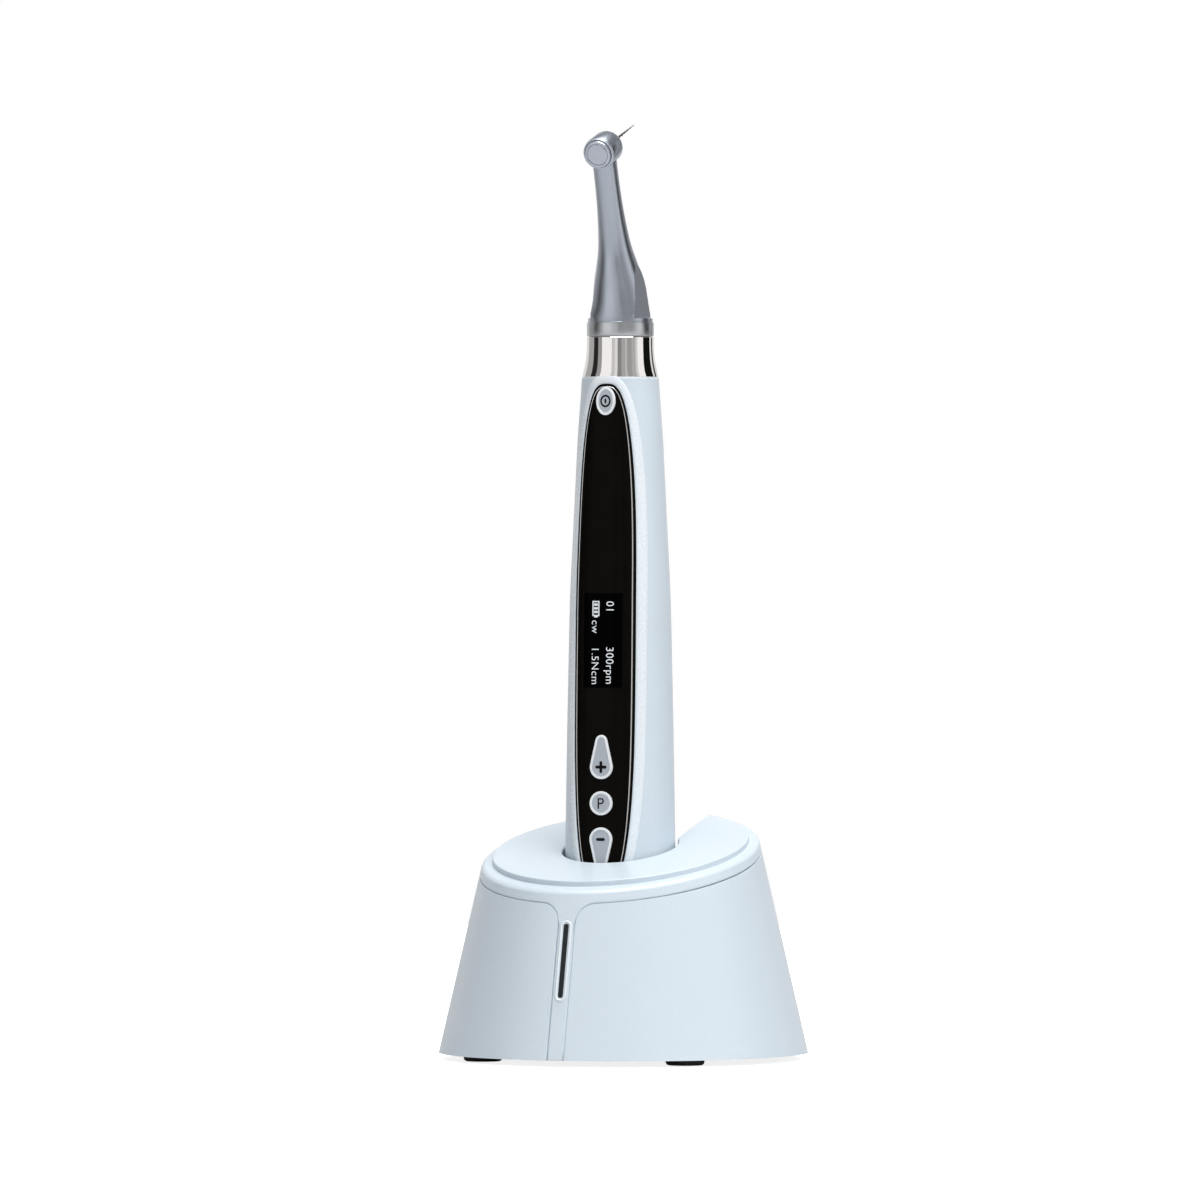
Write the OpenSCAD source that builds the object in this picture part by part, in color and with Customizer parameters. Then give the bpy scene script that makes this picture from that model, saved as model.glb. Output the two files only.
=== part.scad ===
// Cordless endodontic motor: a slim handpiece with a geared contra-angle,
// standing in a weighted charging stand. Millimetres, +Z up, panel towards -Y,
// origin at the bottom centre of the stand.

/* [Charging stand] */
// Radius of the stand at its lower edge
stand_r = 48; // [44:1:56]
// How far the side leans in, per millimetre of height
side_slope = 0.2306; // [0.1:0.01:0.3]
// Height of the raised deck plate above the table, at the stand's axis
deck_z = 55.7; // [50:0.5:66]
// Rise of the deck from front to back, per millimetre
deck_slope = 0.25; // [0.1:0.01:0.3]
// Thickness of the deck
deck_t = 2.2; // [1.6:0.1:3]
// Radius of the raised deck plate
plate_r = 33.4; // [30:0.2:34]
// Rise of the plate over the rim
plate_rise = 1.5; // [0.6:0.1:2.5]
// Width of the rim band above the wrap panel
band_h = 3.2; // [2:0.2:6]
// Thickness of the wrap panel
skirt_t = 1.4; // [1:0.1:2]
// Wall of the moulded core behind the wrap panel
core_t = 1.7; // [1.2:0.1:2.5]
// Seam between the wrap panel and the core
seam = 0.15; // [0.1:0.05:0.3]
// Width of the front strip
strip_w = 4.8; // [4:0.2:8]
// Corner radius where the strip meets the band
strip_corner_r = 4.8; // [3:0.2:8]
// Height of the rubber feet
foot_h = 1.5; // [1:0.1:3]
// Radius of a rubber foot
foot_r = 5; // [4:0.5:7]
// Half of the spacing of the feet
foot_half_pitch = 28; // [24:0.2:28]

/* [Finger notch] */
// Half-width of the notch at the back
notch_half_w = 13; // [10:0.5:13.5]
// Height of the bottom of the notch above the table
notch_floor_z = 25.5; // [24.5:0.5:32]
// Wall of the notch
notch_wall = 1.8; // [1.2:0.1:2.5]

/* [Light and power] */
// Width of the light slot
light_w = 2.0; // [1.4:0.1:3]
// Bottom of the light slot above the table
light_z0 = 17.1; // [14:0.5:22]
// Length of the light slot
light_len = 19.5; // [12:0.5:22]
// Width of the power inlet's shell
inlet_w = 8.94; // [8.9:0.02:9]
// Height of the power inlet's shell
inlet_h = 3.26; // [3.2:0.02:3.3]
// Play around the plug in the housing
inlet_play = 0.9; // [0.5:0.1:1.5]

/* [Handpiece] */
// Length of the grip
grip_len = 158.9; // [132:0.1:200]
// Radius of the grip at its foot
grip_foot_r = 14.4; // [13.4:0.1:17.3]
// Radius of the grip where the fingers rest
grip_waist_r = 13.1; // [12:0.1:15]
// Radius of the grip at its shoulder
grip_shoulder_r = 11.8; // [11.2:0.1:14]
// Radius of the grip at the metal nose
grip_nose_r = 10; // [9.9:0.1:12]
// Wall of the grip
grip_wall = 1.5; // [1.2:0.1:1.8]
// How much the front is flattened
front_flat = 0.7; // [0.3:0.1:1]
// Centre of the flatter front arc, behind the axis
front_arc_y = 10; // [6:1:30]
// Distance of the grip's axis in front of the stand's axis
grip_forward = 2.2; // [0:0.2:4]
// Height of the handpiece's seat above the table
seat_z = 18; // [17:0.5:22]
// Play between the handpiece and the stand's socket
socket_play = 0.7; // [0.4:0.1:1.2]
// Gap under a part that stands on another
rest_gap = 0.1; // [0.05:0.05:0.2]

/* [Panel and buttons] */
// Half-width of the glossy panel
panel_half_w = 8.6; // [7.6:0.1:9]
// Distance of the panel's tip below the nose
panel_top_gap = 1.6; // [1:0.1:4]
// Height of the panel's widest place above the foot
panel_mid = 82; // [70:1:90]
// Height of the panel's lower tip above the foot
panel_bottom = 25.5; // [20:0.5:26]
// Thickness of the panel
panel_t = 1.1; // [0.8:0.1:1.4]
// Width of the trim line around the panel
trim_w = 0.35; // [0.25:0.05:0.6]
// How far the buttons stand proud
button_proud = 0.45; // [0.3:0.05:0.7]
// Gap around a button
button_gap = 0.15; // [0.1:0.05:0.3]
// Travel of a button
button_travel = 0.35; // [0.2:0.05:0.4]
// Half-width of the power button
power_half_w = 2.6; // [2.2:0.1:2.8]
// Half-height of the power button
power_half_h = 3.65; // [3:0.05:4]
// Distance of the power button below the nose
power_down = 6.3; // [5.5:0.1:7]
// Radius of the programme button and of the round ends of the two others
key_r = 3.1; // [2.5:0.1:3.7]
// Radius of the narrow ends of the plus and minus buttons
key_tip_r = 1.6; // [1:0.1:2]
// Length between the two ends of the plus and minus buttons
key_tail = 6.7; // [5:0.1:7]
// Spacing of the buttons
key_pitch = 9.35; // [8:0.05:10]
// Height of the programme button above the foot
key_mid = 48.6; // [46:0.2:52]

/* [Drive] */
// Height of the metal nose
nose_h = 10.5; // [9.5:0.5:16]
// Radius at the top of the metal nose and of the coupling ring
nose_r = 8.7; // [8.5:0.1:10]
// Height of the coupling ring
ring_h = 3.8; // [3.6:0.1:6]
// Radius of the motor
motor_r = 6; // [5:0.5:6.5]
// Length of the motor
motor_len = 35; // [28:1:38]
// Radial running clearance
run_fit = 0.05; // [0.02:0.01:0.1]
// Radius of the swivel ring's seat
swivel_r = 6.9; // [6.7:0.1:7.2]

/* [Contra-angle] */
// Bend of the neck
bend = 18; // [12:1:20]
// Height of the bend above the metal nose
bend_up = 10.8; // [10.8:0.1:14]
// Length from the bend to the head's axis
neck_len = 39.2; // [36:0.1:47]
// Radius of the slim part of the neck
neck_r = 3.15; // [3.1:0.05:4]
// Radius of the head
head_r = 4.2; // [4.1:0.1:5]
// Distance of the button's face behind the neck's axis
cap_back = 4.5; // [4.5:0.1:6]
// Length of the file beyond the head's nose
file_out = 16.4; // [12:0.1:25]
// Radius of the file's shank in the chuck
shank_r = 1.175; // [1.17:0.005:1.18]

/* [Gears] */
// Module of the planetary set
gear_m = 0.28; // [0.26:0.01:0.29]
// Teeth of the sun gear and of each planet
sun_n = 12; // [12:12:12]
// Teeth of each bevel gear at the bend
bend_n = 12; // [10:1:14]
// Teeth of the head's pinion
pinion_n = 8; // [8:1:9]
// Teeth of the chuck's gear
chuck_n = 12; // [12:1:13]

/* [Hidden] */
$fn = 96;

pearl = [0.84, 0.89, 0.93];
satin = [0.62, 0.66, 0.70];
chrome = [0.86, 0.86, 0.87];
gloss_black = [0.05, 0.05, 0.05];
button_grey = [0.80, 0.81, 0.86];
rubber = [0.12, 0.12, 0.13];
board_green = [0.10, 0.35, 0.22];
steel = [0.55, 0.56, 0.58];
gold = [0.83, 0.66, 0.30];
nylon = [0.92, 0.92, 0.88];

big = 120;
tiny = 0.02;
deck_tilt = atan(deck_slope);
shell_in = skirt_t + seam + core_t;
bottom_t = 2;
plate_top = foot_h + bottom_t;
socket_r = grip_foot_r + socket_play;
liner_r = grip_foot_r + socket_play / 2;
liner_wall = 1.7;
plate_shift = deck_slope * 8.4;
liner_top = notch_floor_z - notch_wall - 0.1;
liner_floor_t = 2;
screw_r = 1.4;
screw_circle = 31;
screw_angles = [10, 170, 240, 300];
post_r = 3.4;
board_lift = 2.1;
board_t = 1.6;
inlet_z = plate_top + board_lift + board_t + inlet_h / 2;
inlet_len = 7.35;
inlet_recess = 0.8;
pin_xs = [-5, 0, 5];
pin_r = 0.7;

// ---------------------------------------------------------------- stand

function stand_radius(z) = stand_r - side_slope * (z - foot_h);

module stand_form(inset) {
    h = 1.6 * deck_z;
    translate([0, 0, foot_h])
        cylinder(r1 = stand_r - inset, r2 = stand_r - inset - side_slope * h, h = h);
}

module under_deck(drop) {
    translate([0, 0, deck_z - drop]) rotate([deck_tilt, 0, 0])
        translate([-big, -big, -2 * big]) cube([2 * big, 2 * big, 2 * big]);
}

// Front outline, in X and Z, pushed back along Y from y0 to y1
module front_cut(y0, y1) {
    translate([0, y1, 0]) rotate([90, 0, 0]) linear_extrude(y1 - y0) children();
}

module at_grip() {
    translate([0, -grip_forward, seat_z]) children();
}

// The strip between the ends of the wrap panel, with round corners at the band
module strip_outline(gap) {
    half = strip_w / 2 + gap;
    y_front = -stand_radius(deck_z - plate_rise - band_h - deck_slope * stand_r);
    edge = deck_z - plate_rise - band_h + deck_slope * y_front + 1;
    r = strip_corner_r;
    translate([-half, -1]) square([2 * half, edge + 8]);
    for (s = [-1, 1]) difference() {
        translate([s * (half + r / 2), edge - r / 2 + 2]) square([r, r + 4], center = true);
        translate([s * (half + r), edge - r]) circle(r);
    }
}

// Space of the wrap panel: outside the core, below the band, round from strip to strip
module wrap_space(inset, drop, gap) {
    difference() {
        intersection() {
            stand_form(-5);
            under_deck(drop);
        }
        stand_form(inset);
        front_cut(-stand_r - 10, -stand_r / 2) strip_outline(gap);
    }
}

module notch_outline(grow) {
    r = notch_half_w + grow;
    translate([0, notch_floor_z + notch_half_w]) circle(r);
    translate([-r, notch_floor_z + notch_half_w]) square([2 * r, big / 2]);
}

module light_outline(grow) {
    r = light_w / 2 + grow;
    hull() for (z = [light_z0 + light_w / 2, light_z0 + light_len - light_w / 2])
        translate([0, z]) circle(r);
}

module inlet_outline(grow) {
    r = inlet_h / 2 + grow;
    x = (inlet_w - inlet_h) / 2;
    for (s = [-1, 1]) translate([s * x, inlet_z]) circle(r);
    translate([-x, inlet_z - r]) square([2 * x, 2 * r]);
}

module screw_places() {
    for (a = screw_angles) rotate([0, 0, a]) translate([screw_circle, 0, 0]) children();
}

module foot_places() {
    for (x = [-1, 1], y = [-1, 1]) translate([x * foot_half_pitch, y * foot_half_pitch, 0]) children();
}

module deck_cover() {
    color(pearl) difference() {
        union() {
            difference() {
                intersection() {
                    stand_form(0);
                    under_deck(plate_rise);
                }
                wrap_space(skirt_t + seam, plate_rise + band_h, 0);
                intersection() {
                    stand_form(shell_in);
                    under_deck(plate_rise + deck_t);
                }
                translate([0, 0, foot_h - 1]) cylinder(r = stand_r - shell_in, h = 1 + tiny);
            }
            translate([0, 0, deck_z]) rotate([deck_tilt, 0, 0]) translate([0, -plate_shift, -plate_rise - 1])
                cylinder(r = plate_r, h = plate_rise + 1);
            intersection() {
                union() {
                    translate([0, -grip_forward, liner_top])
                        cylinder(r = socket_r + liner_wall, h = big);
                    front_cut(0, stand_r + 5) notch_outline(notch_wall);
                    screw_places() translate([0, 0, plate_top]) cylinder(r = post_r, h = big);
                }
                stand_form(shell_in - tiny);
                under_deck(plate_rise + tiny);
            }
        }
        translate([0, -grip_forward, 0]) cylinder(r = socket_r, h = big);
        front_cut(0, stand_r + 10) notch_outline(0);
        front_cut(-stand_r - 5, -stand_r / 2) light_outline(tiny);
        front_cut(stand_r / 2 + 8, stand_r + 5) inlet_outline(inlet_play);
        screw_places() translate([0, 0, plate_top - 1]) cylinder(r = screw_r - 0.1, h = 12);
    }
}

module skirt_panel() {
    color(pearl) difference() {
        intersection() {
            stand_form(0);
            wrap_space(skirt_t, plate_rise + band_h + seam, seam);
        }
        front_cut(0, stand_r + 10) notch_outline(0);
        front_cut(stand_r / 2, stand_r + 5) inlet_outline(inlet_play);
    }
}

module socket_liner() {
    floor_top = seat_z - rest_gap;
    color(rubber) translate([0, -grip_forward, 0]) difference() {
        translate([0, 0, plate_top]) cylinder(r = liner_r + liner_wall, h = liner_top - plate_top);
        translate([0, 0, floor_top]) cylinder(r = liner_r, h = big);
        translate([0, 0, plate_top - 1]) cylinder(r = liner_r, h = floor_top - liner_floor_t - plate_top + 1);
        for (x = pin_xs) translate([x, 0, plate_top]) cylinder(r = pin_r + 0.1, h = seat_z);
    }
}

module light_lens() {
    color(gloss_black) intersection() {
        front_cut(-stand_r - 5, -stand_r / 2) light_outline(-tiny);
        difference() {
            stand_form(0.15);
            stand_form(2);
        }
    }
}

module light_guide() {
    color(nylon) intersection() {
        front_cut(-stand_r - 5, -stand_r / 2) light_outline(-tiny);
        difference() {
            stand_form(2 + tiny);
            translate([-big, led_y - tiny, -big]) cube([2 * big, big, 2 * big]);
        }
    }
}
led_y = -stand_radius(light_z0 + light_len) + shell_in + 1.2;
led_w = 9;

module led_board() {
    z0 = light_z0 - 3;
    h = light_len + 4;
    color(board_green) translate([-led_w / 2, led_y, z0]) cube([led_w, 1.2, h]);
}

module base_plate() {
    color(pearl) difference() {
        union() {
            intersection() {
                stand_form(shell_in + seam);
                cylinder(r = stand_r, h = plate_top);
            }
            for (x = [-10, 10], y = [24, 36]) translate([x, y, foot_h + 0.5])
                cylinder(r = 1.8, h = bottom_t + board_lift - 0.5);
            translate([-led_w / 2, led_y + 1.2 + tiny, foot_h + 0.5]) cube([led_w, 1.6, light_z0 + 4]);
        }
        foot_places() translate([0, 0, foot_h - 1]) cylinder(r = foot_r + 0.1, h = 1.6);
        screw_places() translate([0, 0, foot_h - 1]) {
            cylinder(r = screw_r + 0.15, h = 5);
            cylinder(r = 2 * screw_r + 0.15, h = 2);
        }
    }
}

module ballast() {
    h = 8;
    color(steel) difference() {
        translate([0, 0, plate_top + tiny]) cylinder(r = stand_radius(plate_top + h) - shell_in - 1.5, h = h);
        translate([0, -grip_forward, 0]) cylinder(r = liner_r + liner_wall + 0.4, h = big);
        translate([-big, 18, 0]) cube([2 * big, big, big]);
        screw_places() cylinder(r = post_r + 0.3, h = big);
        translate([-led_w, -big - 30, 0]) cube([2 * led_w, big, big]);
    }
}

module base_feet() {
    color(rubber) foot_places() cylinder(r = foot_r, h = foot_h + 0.6 - tiny);
}

module base_screws() {
    color(steel) screw_places() translate([0, 0, foot_h]) difference() {
        union() {
            cylinder(r = screw_r - 0.1, h = 9);
            cylinder(r = 2 * screw_r, h = 1 - tiny);
        }
        translate([0, 0, -1]) cylinder(r = 1, h = 1.6, $fn = 6);
    }
}

module charge_board() {
    color(board_green) translate([-13, 21.5, plate_top + board_lift + tiny]) cube([26, 20, board_t - 2 * tiny]);
}

module power_inlet() {
    y1 = stand_radius(inlet_z) - inlet_recess;
    color(steel) difference() {
        front_cut(y1 - inlet_len, y1) inlet_outline(0);
        front_cut(y1 - inlet_len + 1, y1 + 1) inlet_outline(-0.35);
    }
    color(rubber) translate([-3.2, y1 - inlet_len + 0.5, inlet_z - 0.35]) cube([6.4, inlet_len - 2, 0.7]);
}

module pin_block() {
    top = seat_z - rest_gap - liner_floor_t - tiny;
    color(rubber) translate([0, -grip_forward, top - 3]) difference() {
        translate([-8, -3, 0]) cube([16, 6, 3]);
        for (x = pin_xs) translate([x, 0, -1]) cylinder(r = pin_r + tiny, h = 6);
    }
}

module charge_pins() {
    color(gold) translate([0, -grip_forward, 0]) for (x = pin_xs) translate([x, 0, seat_z - 7.5])
        cylinder(r = pin_r, h = 7.5 - rest_gap);
}

// ------------------------------------------------------------ handpiece

// Radius of the grip by distance below the nose
grip_line = [
    [0, grip_nose_r], [4.9, grip_nose_r + 0.26], [14.9, grip_nose_r + 1.05],
    [30.9, grip_shoulder_r], [56.9, grip_waist_r], [92.9, grip_foot_r - 0.55],
    [121.9, grip_foot_r - 0.1], [152, grip_foot_r]
];
cap_h = 4;
function grip_r(h) = lookup(grip_len - h, grip_line);
function flat_at(h) = front_flat * (0.4 + 0.6 * min(1, (grip_len - h) / 60));
function front_y(h) = -(grip_r(h) - flat_at(h));

// Outer form of the grip, pulled in by inset
module grip_form(inset) {
    hs = concat([0], [for (i = [len(grip_line) - 1:-1:0]) if (grip_len - grip_line[i][0] > 1)
        grip_len - grip_line[i][0]]);
    intersection() {
        rotate_extrude() polygon(concat([[0, 0]], [for (h = hs) [grip_r(h) - inset, h]], [[0, grip_len]]));
        translate([0, front_arc_y, 0]) rotate_extrude() polygon(concat([[0, 0]],
            [for (h = hs) [front_arc_y + grip_r(h) - flat_at(h) - inset, h]], [[0, grip_len]]));
    }
}

// Everything between two heights
module slab(h0, h1) {
    translate([-big / 2, -big / 2, h0]) cube([big, big, h1 - h0]);
}

// Outline of the panel: a long leaf with full, rounded ends
module leaf(grow) {
    top = grip_len - panel_top_gap;
    steps = 80;
    function full(v) = sign(v) * pow(abs(v), 2 / 3);
    polygon([for (i = [0:steps - 1]) let (a = 360 * i / steps, up = full(sin(a)))
        [(panel_half_w + grow) * full(cos(a)),
         panel_mid + up * (grow + (up > 0 ? top - panel_mid : panel_mid - panel_bottom))]]);
}

module power_outline(grow) {
    polygon([for (a = [0:10:350]) [(power_half_w + grow) * cos(a),
        grip_len - power_down + (power_half_h + grow) * sin(a)]]);
}

// Round key with a tail that narrows upwards (way 1) or downwards (way -1)
module drop_outline(z, way, grow) {
    hull() {
        translate([0, z]) circle(key_r + grow);
        translate([0, z + way * key_tail]) circle(key_tip_r + grow);
    }
}

module key_outline(which, grow) {
    if (which == 0) power_outline(grow);
    if (which == 1) drop_outline(key_mid + key_pitch, 1, grow);
    if (which == 2) translate([0, key_mid]) circle(key_r + grow);
    if (which == 3) drop_outline(key_mid - key_pitch, -1, grow);
}

module grip_shell() {
    color(pearl) at_grip() difference() {
        grip_form(0);
        grip_form(grip_wall);
        slab(-1, cap_h);
        translate([0, 0, grip_len - 1]) cylinder(r = grip_nose_r - grip_wall, h = 2);
        front_cut(-big, 0) leaf(tiny);
    }
}

module panel_trim() {
    color(chrome) at_grip() intersection() {
        difference() {
            grip_form(-0.1);
            grip_form(grip_wall);
        }
        front_cut(-big, 0) difference() {
            leaf(0);
            leaf(-trim_w);
        }
    }
}

module display_panel() {
    color(gloss_black) at_grip() intersection() {
        difference() {
            grip_form(0);
            grip_form(panel_t);
        }
        front_cut(-big, 0) difference() {
            leaf(-trim_w - tiny);
            for (k = [0:3]) key_outline(k, button_gap);
        }
    }
}

board_h0 = 22;
board_len = 84;
// Depth of the board below the panel's face at the board's upper end, where the grip is slimmest
board_depth = 3.35;
board_y = front_y(board_h0 + board_len) + board_depth;
board_thick = 1;
board_hole_inset = 3;
display_t = 1.35;
display_half_w = 5;
board_half_w = 6.6;
display_h0 = 78.5;
display_len = 25;
switch_t = 1.2;
top_board_y = -(grip_nose_r - 3.1);
switch_gap = button_travel + 0.15;

module display_module() {
    color(gloss_black) at_grip() translate([-display_half_w, board_y - display_t, display_h0])
        cube([2 * display_half_w, display_t - tiny, display_len]);
}

module main_board() {
    color(board_green) at_grip() difference() {
        translate([-board_half_w, board_y, board_h0]) cube([2 * board_half_w, board_thick, board_len]);
        for (h = [board_h0 + board_hole_inset, board_h0 + board_len - board_hole_inset])
            translate([0, board_y - 1, h]) rotate([-90, 0, 0]) cylinder(r = 0.8, h = 4);
    }
}

module switch_board() {
    h = grip_len - power_down;
    color(board_green) at_grip() translate([-3, top_board_y, h - 4]) cube([6, 0.8, 8.1]);
}

module tact_switches() {
    color(steel) at_grip() {
        for (k = [-1:1]) translate([-1.5, board_y - switch_t, key_mid + k * key_pitch - 1.5])
            cube([3, switch_t - tiny, 3]);
        translate([-1.5, top_board_y - 0.9, grip_len - power_down - 1.5]) cube([3, 0.9 - tiny, 3]);
    }
}

// A button: cap that follows the panel, and a flange that keeps it in
module key(which) {
    back = which == 0 ? top_board_y - 0.9 - switch_gap : board_y - switch_t - switch_gap;
    color(button_grey) at_grip() {
        intersection() {
            grip_form(-button_proud);
            front_cut(-big, back) key_outline(which, 0);
        }
        intersection() {
            front_cut(back - 0.5, back) key_outline(which, 0.5);
            grip_form(panel_t + 0.05);
        }
    }
}
module power_button() { key(0); }
module plus_button() { key(1); }
module program_button() { key(2); }
module minus_button() { key(3); }

cell_r = 9.1;
cell_len = 65;
cell_y = 2.2;
cell_h0 = 10;

module battery_cell() {
    color([0.15, 0.35, 0.65]) at_grip() translate([0, cell_y, cell_h0]) {
        cylinder(r = cell_r, h = cell_len - 1.2);
        cylinder(r = 3, h = cell_len);
    }
}

module battery_clips() {
    color(gold) at_grip() for (h = [cell_h0 - 0.8 - tiny, cell_h0 + cell_len + tiny]) translate([0, 0, h]) {
        translate([0, cell_y, 0]) cylinder(r = 6, h = 0.8);
        translate([-2, board_y + board_thick + tiny, 0]) cube([4, cell_y - board_y - board_thick, 0.8]);
    }
}

module end_cap() {
    plug_top = cell_h0 - 0.9;
    color(pearl) at_grip() difference() {
        union() {
            intersection() {
                grip_form(0);
                rotate_extrude() polygon([[0, 0], [grip_foot_r - 1.4, 0], [grip_foot_r - 0.4, 0.5],
                    [grip_foot_r + 0.1, 1.6], [grip_foot_r + 0.1, cap_h - tiny], [0, cap_h - tiny]]);
            }
            intersection() {
                grip_form(grip_wall + 0.05);
                slab(1, plug_top);
            }
        }
        translate([0, 0, 2.2]) cylinder(r = grip_foot_r - grip_wall - front_flat - 1.5, h = cell_h0);
        for (x = pin_xs) translate([x, 0, -1]) cylinder(r = 1.6 + tiny, h = 5);
    }
}

module contact_pads() {
    color(gold) at_grip() for (x = pin_xs) translate([x, 0, 0]) cylinder(r = 1.6, h = 2.2);
}

// Heights of the drive, from the top of the grip down
flange_h0 = grip_len - 15;
flange_t = 3;
motor_h0 = flange_h0 - motor_len;
swivel_h0 = grip_len - 1.9;
swivel_len = 9.4;
pilot_r = 4.9;
tail_h0 = grip_len - 9.9;
dog_h0 = grip_len - 10.9;
dog_len = 2.4;
shaft_hole_r = 2.2;

module motor_can() {
    color(steel) at_grip() translate([0, 0, motor_h0]) difference() {
        cylinder(r = motor_r, h = motor_len - tiny);
        translate([0, 0, 2]) cylinder(r = motor_r - 0.8, h = motor_len - 3.5);
        translate([0, 0, 1]) cylinder(r = 1 + run_fit, h = motor_len);
    }
}

module motor_mount() {
    color(rubber) at_grip() translate([0, 0, motor_h0 + 4]) difference() {
        cylinder(r = grip_r(motor_h0 + 8) - grip_wall - front_flat - 0.1, h = 4);
        translate([0, 0, -1]) cylinder(r = motor_r + tiny, h = 6);
    }
}

module motor_rotor() {
    color(steel) at_grip() {
        translate([0, 0, motor_h0 + 1.5]) cylinder(r = 1, h = dog_h0 - motor_h0 - 1.5);
        translate([0, 0, motor_h0 + 4]) cylinder(r = motor_r - 1.6, h = motor_len - 9);
        translate([-1.3, -0.35, dog_h0 - tiny]) cube([2.6, 0.7, dog_len]);
    }
}

module nose_collar() {
    spigot_r = grip_nose_r - grip_wall - 0.05;
    drop = grip_nose_r - nose_r;
    color(chrome) at_grip() difference() {
        union() {
            rotate_extrude() polygon([[0, grip_len + tiny], [grip_nose_r - 0.1, grip_len + tiny],
                [nose_r + 0.72 * drop, grip_len + 1.2], [nose_r + 0.4 * drop, grip_len + 3.1],
                [nose_r + 0.12 * drop, grip_len + 5.7], [nose_r, grip_len + 8.1],
                [nose_r, grip_len + nose_h], [0, grip_len + nose_h]]);
            difference() {
                translate([0, 0, flange_h0]) cylinder(r = spigot_r, h = grip_len - flange_h0 + 0.5);
                translate([-big / 2, -big - grip_nose_r + 4.1, flange_h0 - 1]) cube([big, big, 15]);
            }
        }
        translate([0, 0, swivel_h0 - 0.1]) cylinder(r = swivel_r, h = big);
        translate([0, 0, flange_h0 + flange_t]) cylinder(r = pilot_r, h = big);
        translate([0, 0, flange_h0 - 1]) cylinder(r = shaft_hole_r, h = big);
    }
}

lug_angles = [90, 210, 330];
lug_w = 2;
slot_r = swivel_r - 0.55;
tail_r = pilot_r + 0.3;

module swivel_ring() {
    color(gold) at_grip() translate([0, 0, swivel_h0]) difference() {
        cylinder(r = swivel_r - run_fit, h = swivel_len);
        translate([0, 0, -1]) cylinder(r = tail_r + run_fit, h = swivel_len + 2);
        for (a = lug_angles) rotate([0, 0, a]) translate([0, -lug_w / 2 - 0.1, 0.6])
            cube([slot_r, lug_w + 0.2, swivel_len]);
    }
}

// ---------------------------------------------------------- contra-angle

lip_gap = 0.05;
flange2_t = 0.8;

// Frames: the drive's axis, the neck's axis from the bend, and the head's axis
module at_nose() {
    at_grip() translate([0, 0, grip_len]) children();
}
module at_neck() {
    at_nose() translate([0, 0, nose_h + bend_up]) rotate([bend, 0, 0]) children();
}
module at_head() {
    at_neck() translate([0, 0, neck_len]) rotate([-90, 0, 0]) children();
}

tail_bore = 3.3;

module tail_sleeve() {
    h0 = tail_h0 - grip_len;
    color(satin) at_nose() difference() {
        union() {
            translate([0, 0, h0]) cylinder(r = pilot_r - run_fit, h = nose_h - h0 + flange2_t);
            translate([0, 0, -1.4]) cylinder(r = tail_r, h = nose_h + 1.4 + flange2_t);
            translate([0, 0, nose_h + lip_gap]) cylinder(r = nose_r - 0.7, h = flange2_t);
            for (a = lug_angles) rotate([0, 0, a]) translate([0, -lug_w / 2, -1])
                cube([slot_r - 0.1, lug_w, 3]);
        }
        translate([0, 0, h0 - 1]) cylinder(r = tail_bore, h = big);
        translate([0, 0, 8.9]) rotate_extrude() translate([tail_r + 0.55, 0]) circle(0.75, $fn = 32);
    }
}

module o_rings() {
    color(rubber) at_nose() translate([0, 0, 8.9]) rotate_extrude()
        translate([tail_r + 0.55, 0]) circle(0.75 - tiny, $fn = 32);
}

module coupling_ring() {
    color(satin) at_nose() difference() {
        translate([0, 0, nose_h + lip_gap]) cylinder(r = nose_r, h = ring_h - lip_gap);
        translate([0, 0, nose_h - 1]) cylinder(r = nose_r - 0.7 + tiny, h = ring_h + 2);
    }
}

carrier_r = 4.85;
carrier_z0 = nose_h + 3.95;
carrier_t = 1.2;
bearing_z0 = carrier_z0 + carrier_t + 0.35;
bearing_t = 2.2;
bearing_r = 5;
bevel_r = 3.2;
bevel_cone = 90 - bend / 2;
cavity_r = 4.1;
neck_bore = 1.5;
flat_x = carrier_r + 1.3;
flat_up = 1.1;
flat_lean = 3;
bush_r = 2.4;

// Radius of the neck by distance from the bend
neck_line = [
    [-4, neck_r + 4.0], [0, neck_r + 3.95], [2.4, neck_r + 3.6], [5.4, neck_r + 2.95], [8.1, neck_r + 2.3],
    [10.8, neck_r + 1.55], [13.4, neck_r + 1.1], [16.4, neck_r + 0.75], [20, neck_r + 0.45],
    [24.5, neck_r + 0.15], [30, neck_r], [neck_len, neck_r]
];

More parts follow.
